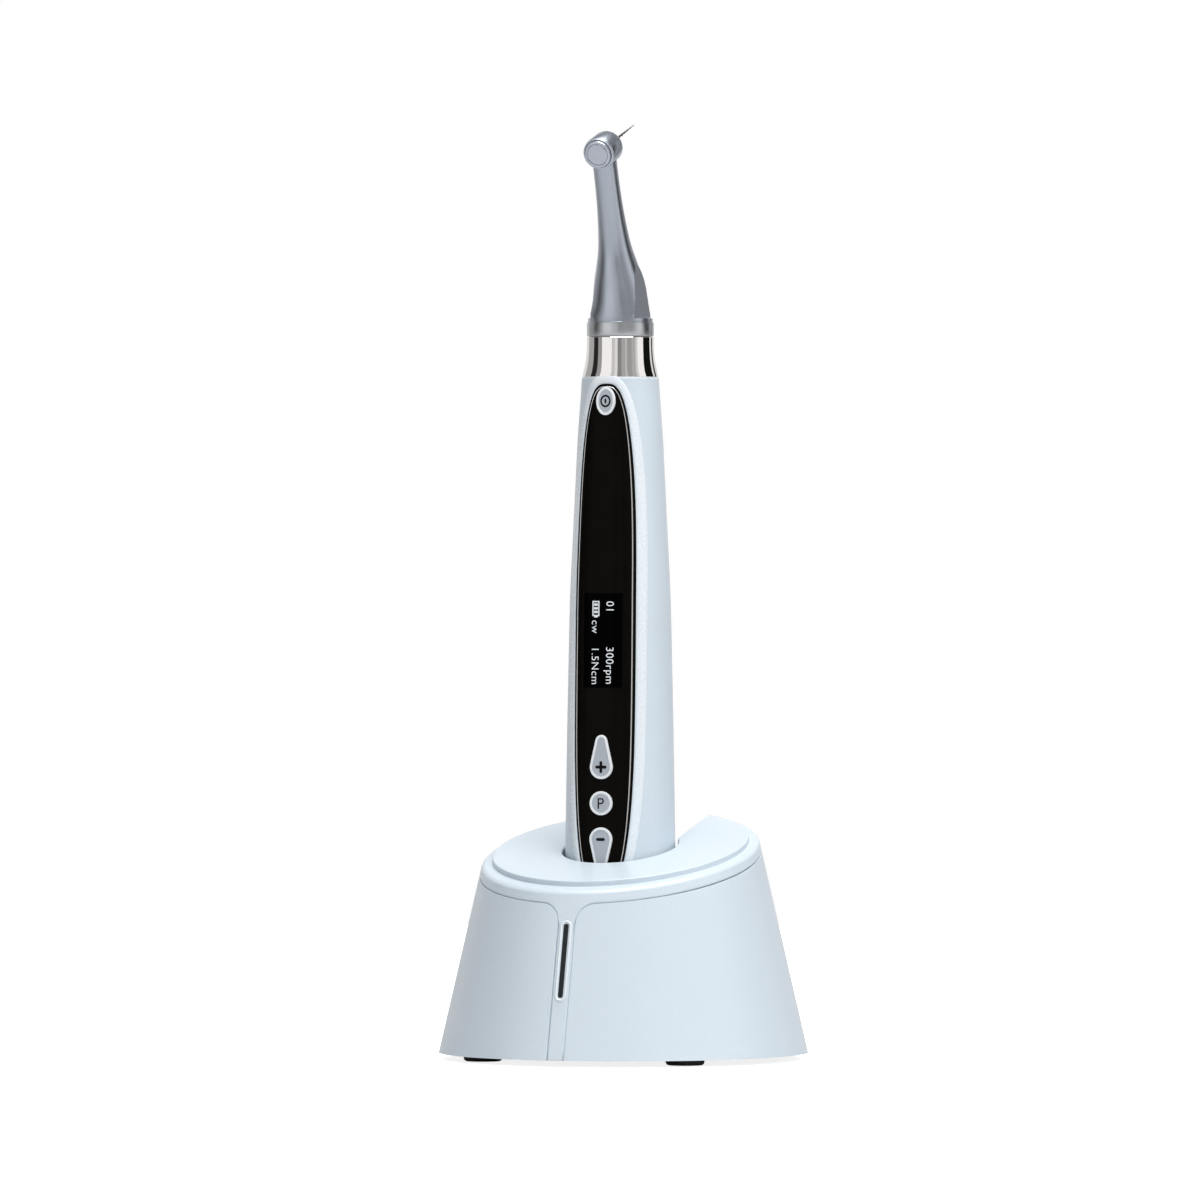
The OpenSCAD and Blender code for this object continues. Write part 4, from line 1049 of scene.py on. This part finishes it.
    def key_outline(self, centre: float, tail: float, turn: float) -> tuple[float, float]:
        """Outline of a key: round, with a narrower tail up or down.

        Args:
            centre: Height of the round part.
            tail: Length of the tail, negative downwards, or 0.
            turn: Direction that the outline faces, in radians.

        Returns:
            X and height of the outline's point.
        """
        across, up = math.cos(turn), math.sin(turn)
        if tail * up > self.key_radius - self.key_tip and tail:
            return self.key_tip * across, centre + tail + self.key_tip * up
        return self.key_radius * across, centre + self.key_radius * up

    def key(self, name: str, outline: Callable[[float], tuple[float, float]], body: str, node: str) -> None:
        """Builds one key: a grey face in a white rim, standing proud of the panel.

        Args:
            name: Name of the piece.
            outline: Gives X and height of the outline at a turn.
            body: The body that the key rides on.
            node: The CAD node that it stands for.
        """
        around = 72
        bm = bmesh.new()
        bmesh.ops.create_circle(bm, cap_ends=True, segments=around, radius=1.0)
        for corner in bm.verts:
            x, height = outline(math.atan2(corner.co.y, corner.co.x))
            y = self.axis_y + self.front_y(0, height) + self.key_sink
            corner.co = Vector((x, y, self.seat + height)) * MM
        bm.faces.ensure_lookup_table()
        face = [bm.faces[0]]
        grown = bmesh.ops.extrude_face_region(bm, geom=face)
        bmesh.ops.delete(bm, geom=face, context="FACES_ONLY")
        for corner in grown["geom"]:
            if isinstance(corner, bmesh.types.BMVert):
                corner.co.y -= (self.key_sink + self.proud) * MM
        top = [part for part in grown["geom"] if isinstance(part, bmesh.types.BMFace)]
        edges = list({edge for part in top for edge in part.edges})
        bmesh.ops.bevel(bm, geom=edges, offset=self.key_edge * MM, segments=3, profile=0.5,
                        affect="EDGES", material=-1)
        bm.faces.ensure_lookup_table()
        top = [max(bm.faces, key=lambda part: len(part.verts))]
        bmesh.ops.inset_region(bm, faces=top, thickness=self.key_rim * MM, depth=0.0)
        bmesh.ops.inset_region(bm, faces=top, thickness=0.08 * MM, depth=0.0)
        for corner in top[0].verts:
            corner.co.y += self.key_recess * MM
        top[0].material_index = 1
        Bench.face_out(bm, lambda middle: Vector((0, self.axis_y * MM, middle.z)))
        Bench.finish(name, bm, [KEY_RIM, KEY_FACE], body, [node], "button_grey", crease=40)

    def key_heights(self) -> dict[str, float]:
        """Heights of the round parts of the keys above the grip's foot."""
        return {"power": self.length - self.power_down, "plus": self.key_mid + self.key_pitch,
                "program": self.key_mid, "minus": self.key_mid - self.key_pitch}

    def build_keys(self) -> None:
        """Builds the four keys and their dark icons."""
        heights = self.key_heights()
        wide, tall = self.power_half
        self.key("key_power", lambda turn: (wide * math.cos(turn), heights["power"] + tall * math.sin(turn)),
                 "power_key", "power_button")
        for name, tail in (("plus", self.key_tail), ("program", 0.0), ("minus", -self.key_tail)):
            height = heights[name]
            self.key(f"key_{name}", lambda turn: self.key_outline(height, tail, turn),
                     f"{name}_key", f"{name}_button")
        self.icon("icon_power", "power_key", self.power_icon(heights["power"]))
        bars = {"plus": [(0.0, 1.55), (math.pi / 2, 1.55)], "minus": [(0.0, 1.2)]}
        for name, strokes in bars.items():
            bm = bmesh.new()
            for turn, half in strokes:
                Bench.join(bm, self.stroke(half, self.stroke_half, turn))
            bmesh.ops.translate(bm, verts=bm.verts, vec=(0, heights[name] * MM, 0))
            self.icon(f"icon_{name}", f"{name}_key", bm)
        letter = flat_words("P", 4.1)
        bmesh.ops.translate(letter, verts=letter.verts, vec=(-0.1 * MM, (heights["program"] - 1.45) * MM, 0))
        self.icon("icon_program", "program_key", letter)

    def stroke(self, half: float, thick: float, turn: float) -> bmesh.types.BMesh:
        """Makes a flat bar with round ends, centred, at a turn, in the icon's plane."""
        bm = bmesh.new()
        bmesh.ops.create_circle(bm, cap_ends=True, segments=24, radius=thick * MM)
        for corner in bm.verts:
            corner.co.x += math.copysign((half - thick) * MM, corner.co.x)
        bmesh.ops.rotate(bm, verts=bm.verts, cent=(0, 0, 0), matrix=Matrix.Rotation(turn, 3, "Z"))
        return bm

    def power_icon(self, height: float) -> bmesh.types.BMesh:
        """Makes the power icon: a closed ring with a bar in its middle.

        Args:
            height: Height of the key above the grip's foot.

        Returns:
            The flat icon.
        """
        inner, outer = 1.0, 1.45
        around = 48

        def place(column: int, row: int) -> Sequence[float]:
            """Gives a corner of the ring."""
            turn = FULL_TURN * column / around
            radius = outer if row else inner
            return (radius * math.cos(turn), height + radius * 1.12 * math.sin(turn), 0.0)

        bm = Bench.sheet(around, 1, place)
        Bench.close(bm, 0.001)
        bar = self.stroke(0.62, 0.26, math.pi / 2)
        bmesh.ops.translate(bar, verts=bar.verts, vec=(0, height * MM, 0))
        Bench.join(bm, bar)
        return bm

    def icon(self, name: str, body: str, bm: bmesh.types.BMesh) -> None:
        """Lays a flat icon, drawn in X and height, on the face of its key.

        Args:
            name: Name of the piece.
            body: The body that it rides on.
            bm: The flat icon.
        """
        lift = self.proud - self.key_recess + self.ink_lift
        for corner in bm.verts:
            x, height = corner.co.x / MM, corner.co.y / MM
            corner.co = Vector((x, self.axis_y + self.front_y(0, height) - lift, self.seat + height)) * MM
        Bench.face_out(bm, lambda middle: Vector((0, self.axis_y * MM, middle.z)))
        Bench.finish(name, bm, [KEY_INK], body, [], "panel_black")

    def build_readout(self) -> None:
        """Lays plain numbers and a battery sign on the display, read from top to bottom."""
        size, right, left = 2.9, 1.05, -2.95
        whole = bmesh.new()
        downwards = Matrix.Rotation(-math.pi / 2, 3, "Z")
        lines = (("01", right, 2.0), ("300rpm", right, 13.8), ("cw", left, 6.9), ("1.5Ncm", left, 13.8))
        for words, x, along in lines:
            text = flat_words(words, size, left=True)
            bmesh.ops.rotate(text, verts=text.verts, cent=(0, 0, 0), matrix=downwards)
            bmesh.ops.translate(text, verts=text.verts, vec=(x * MM, (self.display_high - along) * MM, 0))
            Bench.join(whole, text)
        middle, half, thick = left + 1.1, 1.0, 0.17
        first, last = 2.0, 5.6
        for place in (first, last):
            Bench.join(whole, self.bar(middle, half, place, place + 2 * thick))
        for side in (-1, 1):
            Bench.join(whole, self.bar(middle + side * (half - thick), thick, first, last))
        Bench.join(whole, self.bar(middle, half / 2, last + 2 * thick, last + 4 * thick))
        for cell in (0.65, 1.6, 2.55):
            Bench.join(whole, self.bar(middle, half - 0.45, first + cell, first + cell + 0.6))
        for corner in whole.verts:
            x, height = corner.co.x / MM, corner.co.y / MM
            corner.co = Vector(self.on_front(x, height, 0.14)) * MM
        Bench.face_out(whole, lambda middle: Vector((0, self.axis_y * MM, middle.z)))
        Bench.finish("display_readout", whole, [READOUT], self.body, [], "display_black")

    def bar(self, x: float, half: float, low: float, high: float) -> bmesh.types.BMesh:
        """Makes a flat bar of the readout between two distances below the display's top."""
        return Bench.sheet(2, 2, lambda column, row: (x + half * (column - 1),
                                                      self.display_high - low - (high - low) * row / 2, 0.0))

    def build_nose(self) -> None:
        """Builds the flared mirror collar of the nose."""
        low = self.seat + self.length
        top = low + self.nose_height
        profile = [(8.2, low - 2), (9.85, low - 0.05), (9.88, low + 0.1), (9.64, low + 1.2),
                   (9.22, low + 3.1), (8.95, low + 4.6), (8.83, low + 5.9), (8.74, low + 7.2),
                   (8.7, low + 8.6), (8.7, top - 0.25), (8.55, top - 0.06), (8.2, top - 0.02),
                   (7.6, top - 0.02), (7.6, low - 2), (8.2, low - 2)]
        bm = Bench.turned(profile, 128)
        bmesh.ops.translate(bm, verts=bm.verts, vec=(0, self.axis_y * MM, 0))
        bmesh.ops.recalc_face_normals(bm, faces=bm.faces)
        Bench.finish("nose_flare", bm, [CHROME], self.body, ["nose_collar"], "mirror_chrome")

    def build(self) -> None:
        """Builds all the pieces of the handpiece."""
        self.build_grip()
        self.build_panel()
        self.build_keys()
        self.build_readout()
        self.build_nose()


def flat_words(words: str, size: float, left: bool = False) -> bmesh.types.BMesh:
    """Draws plain characters as a flat mesh at the origin.

    Args:
        words: The characters.
        size: Their size, in millimetres.
        left: Whether they start at the origin instead of lying round it.

    Returns:
        The flat mesh.
    """
    curve = bpy.data.curves.new("characters", "FONT")
    curve.body = words
    curve.size = size * MM
    curve.align_x = "LEFT" if left else "CENTER"
    curve.resolution_u = 4
    curve.space_character = 1.08
    drawn = bpy.data.objects.new("characters", curve)
    bpy.context.scene.collection.objects.link(drawn)
    bpy.context.view_layer.update()
    mesh = bpy.data.meshes.new_from_object(drawn.evaluated_get(bpy.context.evaluated_depsgraph_get()))
    bm = bmesh.new()
    bm.from_mesh(mesh)
    bpy.data.meshes.remove(mesh)
    bpy.data.objects.remove(drawn)
    bpy.data.curves.remove(curve)
    return bm


@dataclass
class ContraAngle:
    """The metal contra-angle: coupling ring, bent neck, head, press cap and file."""

    axis_y: float = -2.2
    low: float = 187.45
    ring_top: float = 191.2
    ring_radius: float = 8.7
    foot_radius: float = 8.4
    bend: float = 198.2
    tilt: float = math.radians(18)
    head_along: float = 39.2
    flat_x: float = 6.15
    flat_lean: float = math.radians(3)
    head_radius: float = 4.2
    saddle: float = 3.7
    spring_radius: float = 2.5
    spring_room: float = 0.55
    flutes_start: float = 11.0
    file_end: float = 23.0
    flute_radius: float = 0.44
    tip_radius: float = 0.09
    flute_depth: float = 0.28
    flute_twist: float = 1.5
    shank_line: tuple[tuple[float, float], ...] = (
        (-2.0, 1.15), (6.4, 1.15), (7.1, 0.56), (11.0, 0.56))
    body: str = "contra_angle"
    line: list[tuple[float, float]] = field(default_factory=lambda: [
        (-8.0, 11.2), (-3.0, 9.1), (0.0, 8.1), (3.0, 7.5), (7.0, 7.0), (9.4, 6.6), (12.4, 6.0), (15.1, 5.4),
        (17.8, 4.72), (20.4, 4.25), (23.4, 3.9), (27.0, 3.6), (31.5, 3.32), (37.0, 3.17), (43.0, 3.15),
        (46.2, 3.3)])

    def centre(self, along: float) -> tuple[Vector, Vector]:
        """Middle of the neck, and its direction, at a distance along it from the ring.

        Args:
            along: Distance from the ring's top.

        Returns:
            The middle and the direction.
        """
        start = self.bend - self.ring_top
        reach = 4.5
        share = min(1.0, max(0.0, (along - start + reach) / (2 * reach)))
        lean = self.tilt * share * share * (3 - 2 * share)
        step = 0.25
        y, z, done = self.axis_y, self.ring_top, 0.0
        while done < along - 1e-9:
            move = min(step, along - done)
            part = min(1.0, max(0.0, (done + move / 2 - start + reach) / (2 * reach)))
            turn = self.tilt * part * part * (3 - 2 * part)
            y -= math.sin(turn) * move
            z += math.cos(turn) * move
            done += move
        return Vector((0, y, z)), Vector((0, -math.sin(lean), math.cos(lean)))

    def head_frame(self) -> Matrix:
        """Place of the head: its axis along local Z, towards the file."""
        point = Vector((0, self.axis_y - math.sin(self.tilt) * self.head_along,
                        self.bend + math.cos(self.tilt) * self.head_along)) * MM
        turn = Matrix.Rotation(-(math.pi / 2 - self.tilt), 4, "X")
        return Matrix.Translation(point) @ turn

    def build_neck(self) -> None:
        """Builds the bent neck: a bell with a scalloped foot and a flat on each side."""
        around, rows = 160, 110
        length = self.head_along + self.bend - self.ring_top - 0.4
        centres = [self.centre(length * row / rows) for row in range(rows + 1)]
        hub = self.head_frame().translation / MM
        upwards = Vector((0, -math.sin(self.tilt), math.cos(self.tilt)))

        def place(column: int, row: int) -> Sequence[float]:
            """Gives a corner of the neck."""
            along = length * row / rows
            turn = FULL_TURN * column / around
            middle, way = centres[row]
            side = Vector((1, 0, 0))
            fore = way.cross(side)
            rise = 6.5 * math.cos(turn) ** 2 * max(0.0, 1 - along / 14)
            radius = smooth_line(self.line, along - rise, 1.6)
            point = middle + side * radius * math.cos(turn) + fore * radius * math.sin(turn)
            out = math.hypot(point.x, point.y - self.axis_y)
            if point.z < 202 and out > self.foot_radius:
                point.x *= self.foot_radius / out
                point.y = self.axis_y + (point.y - self.axis_y) * self.foot_radius / out
            limit = self.flat_x - math.tan(self.flat_lean) * (point.z - self.ring_top - 1.1)
            if self.ring_top + 1.1 < point.z < self.ring_top + 14 and abs(point.x) > limit:
                point.x = math.copysign(limit, point.x)
            if abs(point.x) < self.saddle:
                short = (point - hub).dot(upwards) + math.sqrt(self.saddle ** 2 - point.x ** 2)
                point -= upwards * max(0.0, short)
            return point

        bm = Bench.sheet(around, rows, place)
        Bench.close(bm, 0.002)
        open_ring = [edge for edge in bm.edges if edge.is_boundary and edge.verts[0].co.z < 195 * MM]
        bmesh.ops.holes_fill(bm, edges=open_ring, sides=0)
        Bench.face_out(bm, lambda middle: Vector((0, middle.y * 0.5 - 0.003, middle.z)))
        Bench.finish("neck_bell", bm, [SATIN], self.body, ["neck_housing"], "satin_metal", crease=10)

    def build_ring(self) -> None:
        """Builds the coupling ring with eased edges."""
        low, top, radius = self.low, self.ring_top, self.ring_radius
        profile = [(6.5, low), (radius - 0.25, low), (radius - 0.07, low + 0.07), (radius, low + 0.25),
                   (radius, top - 0.3), (radius - 0.09, top - 0.09), (radius - 0.3, top), (6.5, top),
                   (6.5, low)]
        bm = Bench.turned(profile, 128)
        bmesh.ops.translate(bm, verts=bm.verts, vec=(0, self.axis_y * MM, 0))
        bmesh.ops.recalc_face_normals(bm, faces=bm.faces)
        Bench.finish("coupling_band", bm, [RING_METAL], self.body, ["coupling_ring"], "satin_metal")

    def on_head(self, name: str, profile: Sequence[tuple[float, float]], finish: Finish, body: str,
                nodes: Sequence[str], slot: str) -> None:
        """Builds a piece that is turned about the head's axis.

        Args:
            name: Name of the piece.
            profile: Its profile, as (radius, place along the axis).
            finish: Its finish.
            body: The body that it rides on.
            nodes: The CAD nodes that it stands for.
            slot: The record's material slot.
        """
        bm = Bench.turned(profile)
        bmesh.ops.transform(bm, matrix=self.head_frame(), verts=bm.verts)
        bmesh.ops.recalc_face_normals(bm, faces=bm.faces)
        Bench.finish(name, bm, [finish], body, nodes, slot)

    def build_head(self) -> None:
        """Builds the head, the ring round the press cap, and the cap with its groove."""
        radius = self.head_radius
        self.on_head("head_barrel", [
            (3.61, -3.2), (radius - 0.25, -3.2), (radius - 0.07, -3.13), (radius, -2.95), (radius, 2.9),
            (radius - 0.05, 3.3), (radius - 0.3, 3.85), (radius - 0.75, 4.5), (radius - 1.3, 5.2),
            (radius - 1.75, 5.95), (2.2, 6.4), (2.0, 6.58), (1.5, 6.6), (1.3, 6.55), (1.25, 5.6), (2.6, 5.0),
            (2.6, -2.4), (3.61, -2.4), (3.61, -3.2)],
            SATIN, self.body, ["head_housing"], "satin_metal")
        self.on_head("cap_bezel", [(3.65, -3.25), (4.0, -3.25), (4.1, -3.35), (4.1, -3.6), (3.98, -3.76),
                                   (3.75, -3.8), (3.65, -3.7), (3.65, -3.25)],
                     CAP_METAL, self.body, ["cap_ring"], "cap_metal")
        pocket_in, pocket_out = self.spring_radius - 0.3, self.spring_radius + 0.3
        pocket_end = -3.6 - self.spring_room
        self.on_head("press_cap", [
            (0, -3.6), (pocket_in, -3.6), (pocket_in, pocket_end), (pocket_out, pocket_end),
            (pocket_out, -3.6), (3.5, -3.6), (3.55, -3.7), (3.55, -4.15), (3.45, -4.36), (3.25, -4.46),
            (2.98, -4.48), (2.9, -4.42), (2.84, -4.3), (2.76, -4.3), (2.7, -4.42), (2.6, -4.49),
            (1.5, -4.5), (0, -4.5)],
            CAP_METAL, "head_button", ["push_cap"], "cap_metal")

    def build_file(self) -> None:
        """Builds the file: a brass shank, and a tapering tip with twisted flutes."""
        around, rows = 32, 120
        start, end = self.flutes_start, self.file_end

        def place(column: int, row: int) -> Sequence[float]:
            """Gives a corner of the file."""
            along = -1.0 + (end + 1.0) * row / rows
            turn = FULL_TURN * column / around
            if along < start:
                radius = read_line(self.shank_line, along)
            else:
                share = (along - start) / (end - start)
                radius = self.flute_radius + (self.tip_radius - self.flute_radius) * share
                phase = 2 * (turn - self.flute_twist * (along - start))
                radius *= 1 - self.flute_depth * (1 - math.cos(phase))
            if row in (0, rows):
                radius = 0.0
            return (radius * math.cos(turn), radius * math.sin(turn), along)

        bm = Bench.sheet(around, rows, place)
        Bench.close(bm, 0.001)
        for face in bm.faces:
            face.material_index = 1 if face.calc_center_median().z > (start + 0.4) * MM else 0
        bmesh.ops.transform(bm, matrix=self.head_frame(), verts=bm.verts)
        bmesh.ops.recalc_face_normals(bm, faces=bm.faces)
        Bench.finish("file_fluted", bm, [FILE_BRASS, FILE_STEEL], "chuck_file", ["file"], "file_metal")

    def build(self) -> None:
        """Builds all the pieces of the contra-angle."""
        self.build_neck()
        self.build_ring()
        self.build_head()
        self.build_file()


@dataclass
class Studio:
    """The plain floor, the soft lights and the camera."""

    distance: float = 3.0
    view_width: float = 0.3117
    sensor: float = 36.0
    azimuth: float = math.radians(21.6)
    elevation: float = math.radians(0.6)
    aim_left: float = 0.0061
    aim_height: float = 0.1190
    room_light: float = 0.27
    floor_glow: float = 0.85
    floor_radius: float = 0.9
    key_azimuth: float = math.radians(52)
    key_elevation: float = math.radians(22)
    key_distance: float = 1.3
    key_size: float = 0.8
    key_power: float = 6.9
    top_place: tuple[float, float, float] = (0.1, -0.1, 1.3)
    top_size: float = 0.9
    top_power: float = 18.5
    cards: tuple[tuple[float, float, float], ...] = (
        (-114, -81, 0.42), (-81, -60, 0.02), (-60, -44, 0.34), (-44, -8, 1.0), (-8, 3, 0.62),
        (3, 12, 0.8), (12, 25, 0.26), (25, 38, 0.42), (38, 44, 0.56), (44, 60, 0.36), (60, 74, 0.46),
        (74, 82, 0.7), (82, 106, 1.0), (106, 141, 0.005), (141, 152, 0.8), (152, 164, 0.05),
        (164, 246, 0.8))

    def build_floor(self) -> None:
        """Lays the pale floor under the stand."""
        bm = bmesh.new()
        bmesh.ops.create_circle(bm, cap_ends=True, segments=128, radius=self.floor_radius)
        bmesh.ops.translate(bm, verts=bm.verts, vec=(0, 0, -0.0002))
        mesh = bpy.data.meshes.new("floor")
        bm.to_mesh(mesh)
        bm.free()
        floor = bpy.data.objects.new("floor", mesh)
        bpy.context.scene.collection.objects.link(floor)
        pale = Finish("floor_paint", (0.60, 0.60, 0.60), gloss=(0.7, 0.8), grain=40.0, relief=0.01,
                      tone=0.005)
        paint = pale.material()
        shader = paint.node_tree.nodes["Principled BSDF"]
        shader.inputs["Emission Color"].default_value = (1.0, 1.0, 1.0, 1.0)
        path = paint.node_tree.nodes.new("ShaderNodeLightPath")
        glow = paint.node_tree.nodes.new("ShaderNodeMapRange")
        glow.inputs["To Max"].default_value = self.floor_glow
        paint.node_tree.links.new(path.outputs["Is Camera Ray"], glow.inputs["Value"])
        paint.node_tree.links.new(glow.outputs["Result"], shader.inputs["Emission Strength"])
        mesh.materials.append(paint)

    def build_sky(self) -> None:
        """Gives the room its even white light."""
        world = bpy.data.worlds.new("room")
        world.use_nodes = True
        tree = world.node_tree
        glow = tree.nodes["Background"]
        glow.inputs["Color"].default_value = (1.0, 1.0, 1.0, 1.0)
        path = tree.nodes.new("ShaderNodeLightPath")
        level = tree.nodes.new("ShaderNodeMapRange")
        level.inputs["To Min"].default_value = self.room_light
        level.inputs["To Max"].default_value = 1.0
        tree.links.new(path.outputs["Is Camera Ray"], level.inputs["Value"])
        tree.links.new(level.outputs["Result"], glow.inputs["Strength"])
        bpy.context.scene.world = world
        bpy.context.scene.view_settings.view_transform = "Standard"

    def build_wall(self) -> None:
        """Stands upright cards round the object, which only its metal mirrors."""
        height, radius, steps = 1.3, 1.0, 4
        for number, (start, end, shade) in enumerate(self.cards):
            def place(column: int, row: int) -> Sequence[float]:
                """Gives a corner of the card."""
                turn = math.radians(start + (end - start) * column / steps)
                point = self.view(turn, 0.0, radius) / MM
                return (point.x, point.y, point.z + height / MM * (row - 0.5))
            bm = Bench.sheet(steps, 1, place)
            mesh = bpy.data.meshes.new(f"card_{number}")
            bm.to_mesh(mesh)
            bm.free()
            card = bpy.data.objects.new(mesh.name, mesh)
            bpy.context.scene.collection.objects.link(card)
            paint = Finish(f"{mesh.name}_paint", (0.002,) * 3, gloss=(0.8, 0.9), grain=30.0, relief=0.01,
                           tone=0.02, shine=0.0).material()
            shader = paint.node_tree.nodes["Principled BSDF"]
            shader.inputs["Emission Color"].default_value = (1.0, 0.98, 0.97, 1.0)
            shader.inputs["Emission Strength"].default_value = shade
            mesh.materials.append(paint)
            card.visible_camera = False
            card.visible_shadow = False
            card.visible_diffuse = False

    def lamp(self, name: str, place: Vector, size: float, power: float, target: Vector,
             mirrored: bool) -> None:
        """Hangs one soft square lamp.

        Args:
            name: Name of the lamp.
            place: Where it hangs.
            size: Length of its side, in metres.
            power: Its power, in watts.
            target: The point that it faces.
            mirrored: Whether it shows in glossy surfaces.
        """
        light = bpy.data.lights.new(name, "AREA")
        light.size = size
        light.energy = power
        lamp = bpy.data.objects.new(name, light)
        lamp.location = place
        lamp.visible_glossy = mirrored
        lamp.rotation_euler = (target - place).to_track_quat("-Z", "Y").to_euler()
        bpy.context.scene.collection.objects.link(lamp)

    def view(self, azimuth: float, elevation: float, distance: float) -> Vector:
        """Finds a point at a distance from the object's middle.

        Args:
            azimuth: Turn from the front towards +X, in radians.
            elevation: Height above level, in radians.
            distance: Distance, in metres.

        Returns:
            The point.
        """
        flat = math.cos(elevation) * distance
        return Vector((math.sin(azimuth) * flat, -math.cos(azimuth) * flat,
                       self.aim_height + math.sin(elevation) * distance))

    def build_camera(self) -> None:
        """Sets up the long-lens camera."""
        lens = bpy.data.cameras.new("camera")
        lens.sensor_width = self.sensor
        lens.lens = self.sensor * self.distance / self.view_width
        lens.clip_end = 50
        camera = bpy.data.objects.new("camera", lens)
        aside = Vector((math.cos(self.azimuth), math.sin(self.azimuth), 0)) * -self.aim_left
        target = aside + Vector((0, 0, self.aim_height))
        camera.location = self.view(self.azimuth, self.elevation, self.distance) + aside
        camera.rotation_euler = (target - camera.location).to_track_quat("-Z", "Y").to_euler()
        bpy.context.scene.collection.objects.link(camera)
        bpy.context.scene.camera = camera

    def build(self) -> None:
        """Builds the whole studio."""
        middle = Vector((0, 0, self.aim_height))
        self.build_floor()
        self.build_sky()
        key_place = self.view(self.key_azimuth, self.key_elevation, self.key_distance)
        self.lamp("key_lamp", key_place, self.key_size, self.key_power, middle, False)
        self.lamp("top_lamp", Vector(self.top_place), self.top_size, self.top_power, middle, True)
        self.build_wall()
        self.build_camera()


def dress_inside(frame: dict) -> None:
    """Gives every CAD node that stays the finish of its slot.
    """
    for name, node in frame["nodes"].items():
        for index, slot in enumerate(node.material_slots):
            key = slot.material.name.split(".")[0] if slot.material else ""
            finish = INNER_FINISHES.get(key)
            if finish is None:
                log.warning("node %s slot %d has no finish for %s", name, index, key)
                continue
            slot.material = finish.material()
        log.info("node %s dressed", name)


def main() -> None:
    """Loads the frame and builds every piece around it."""
    logging.basicConfig(level=logging.INFO, format="%(message)s")
    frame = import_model()
    Studio().build()
    dress_inside(frame)
    for assembly in (Stand(), Handpiece(), ContraAngle()):
        assembly.build()
        log.info("built %s", type(assembly).__name__)
    bpy.context.view_layer.update()
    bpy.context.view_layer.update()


if __name__ == "__main__":
    main()
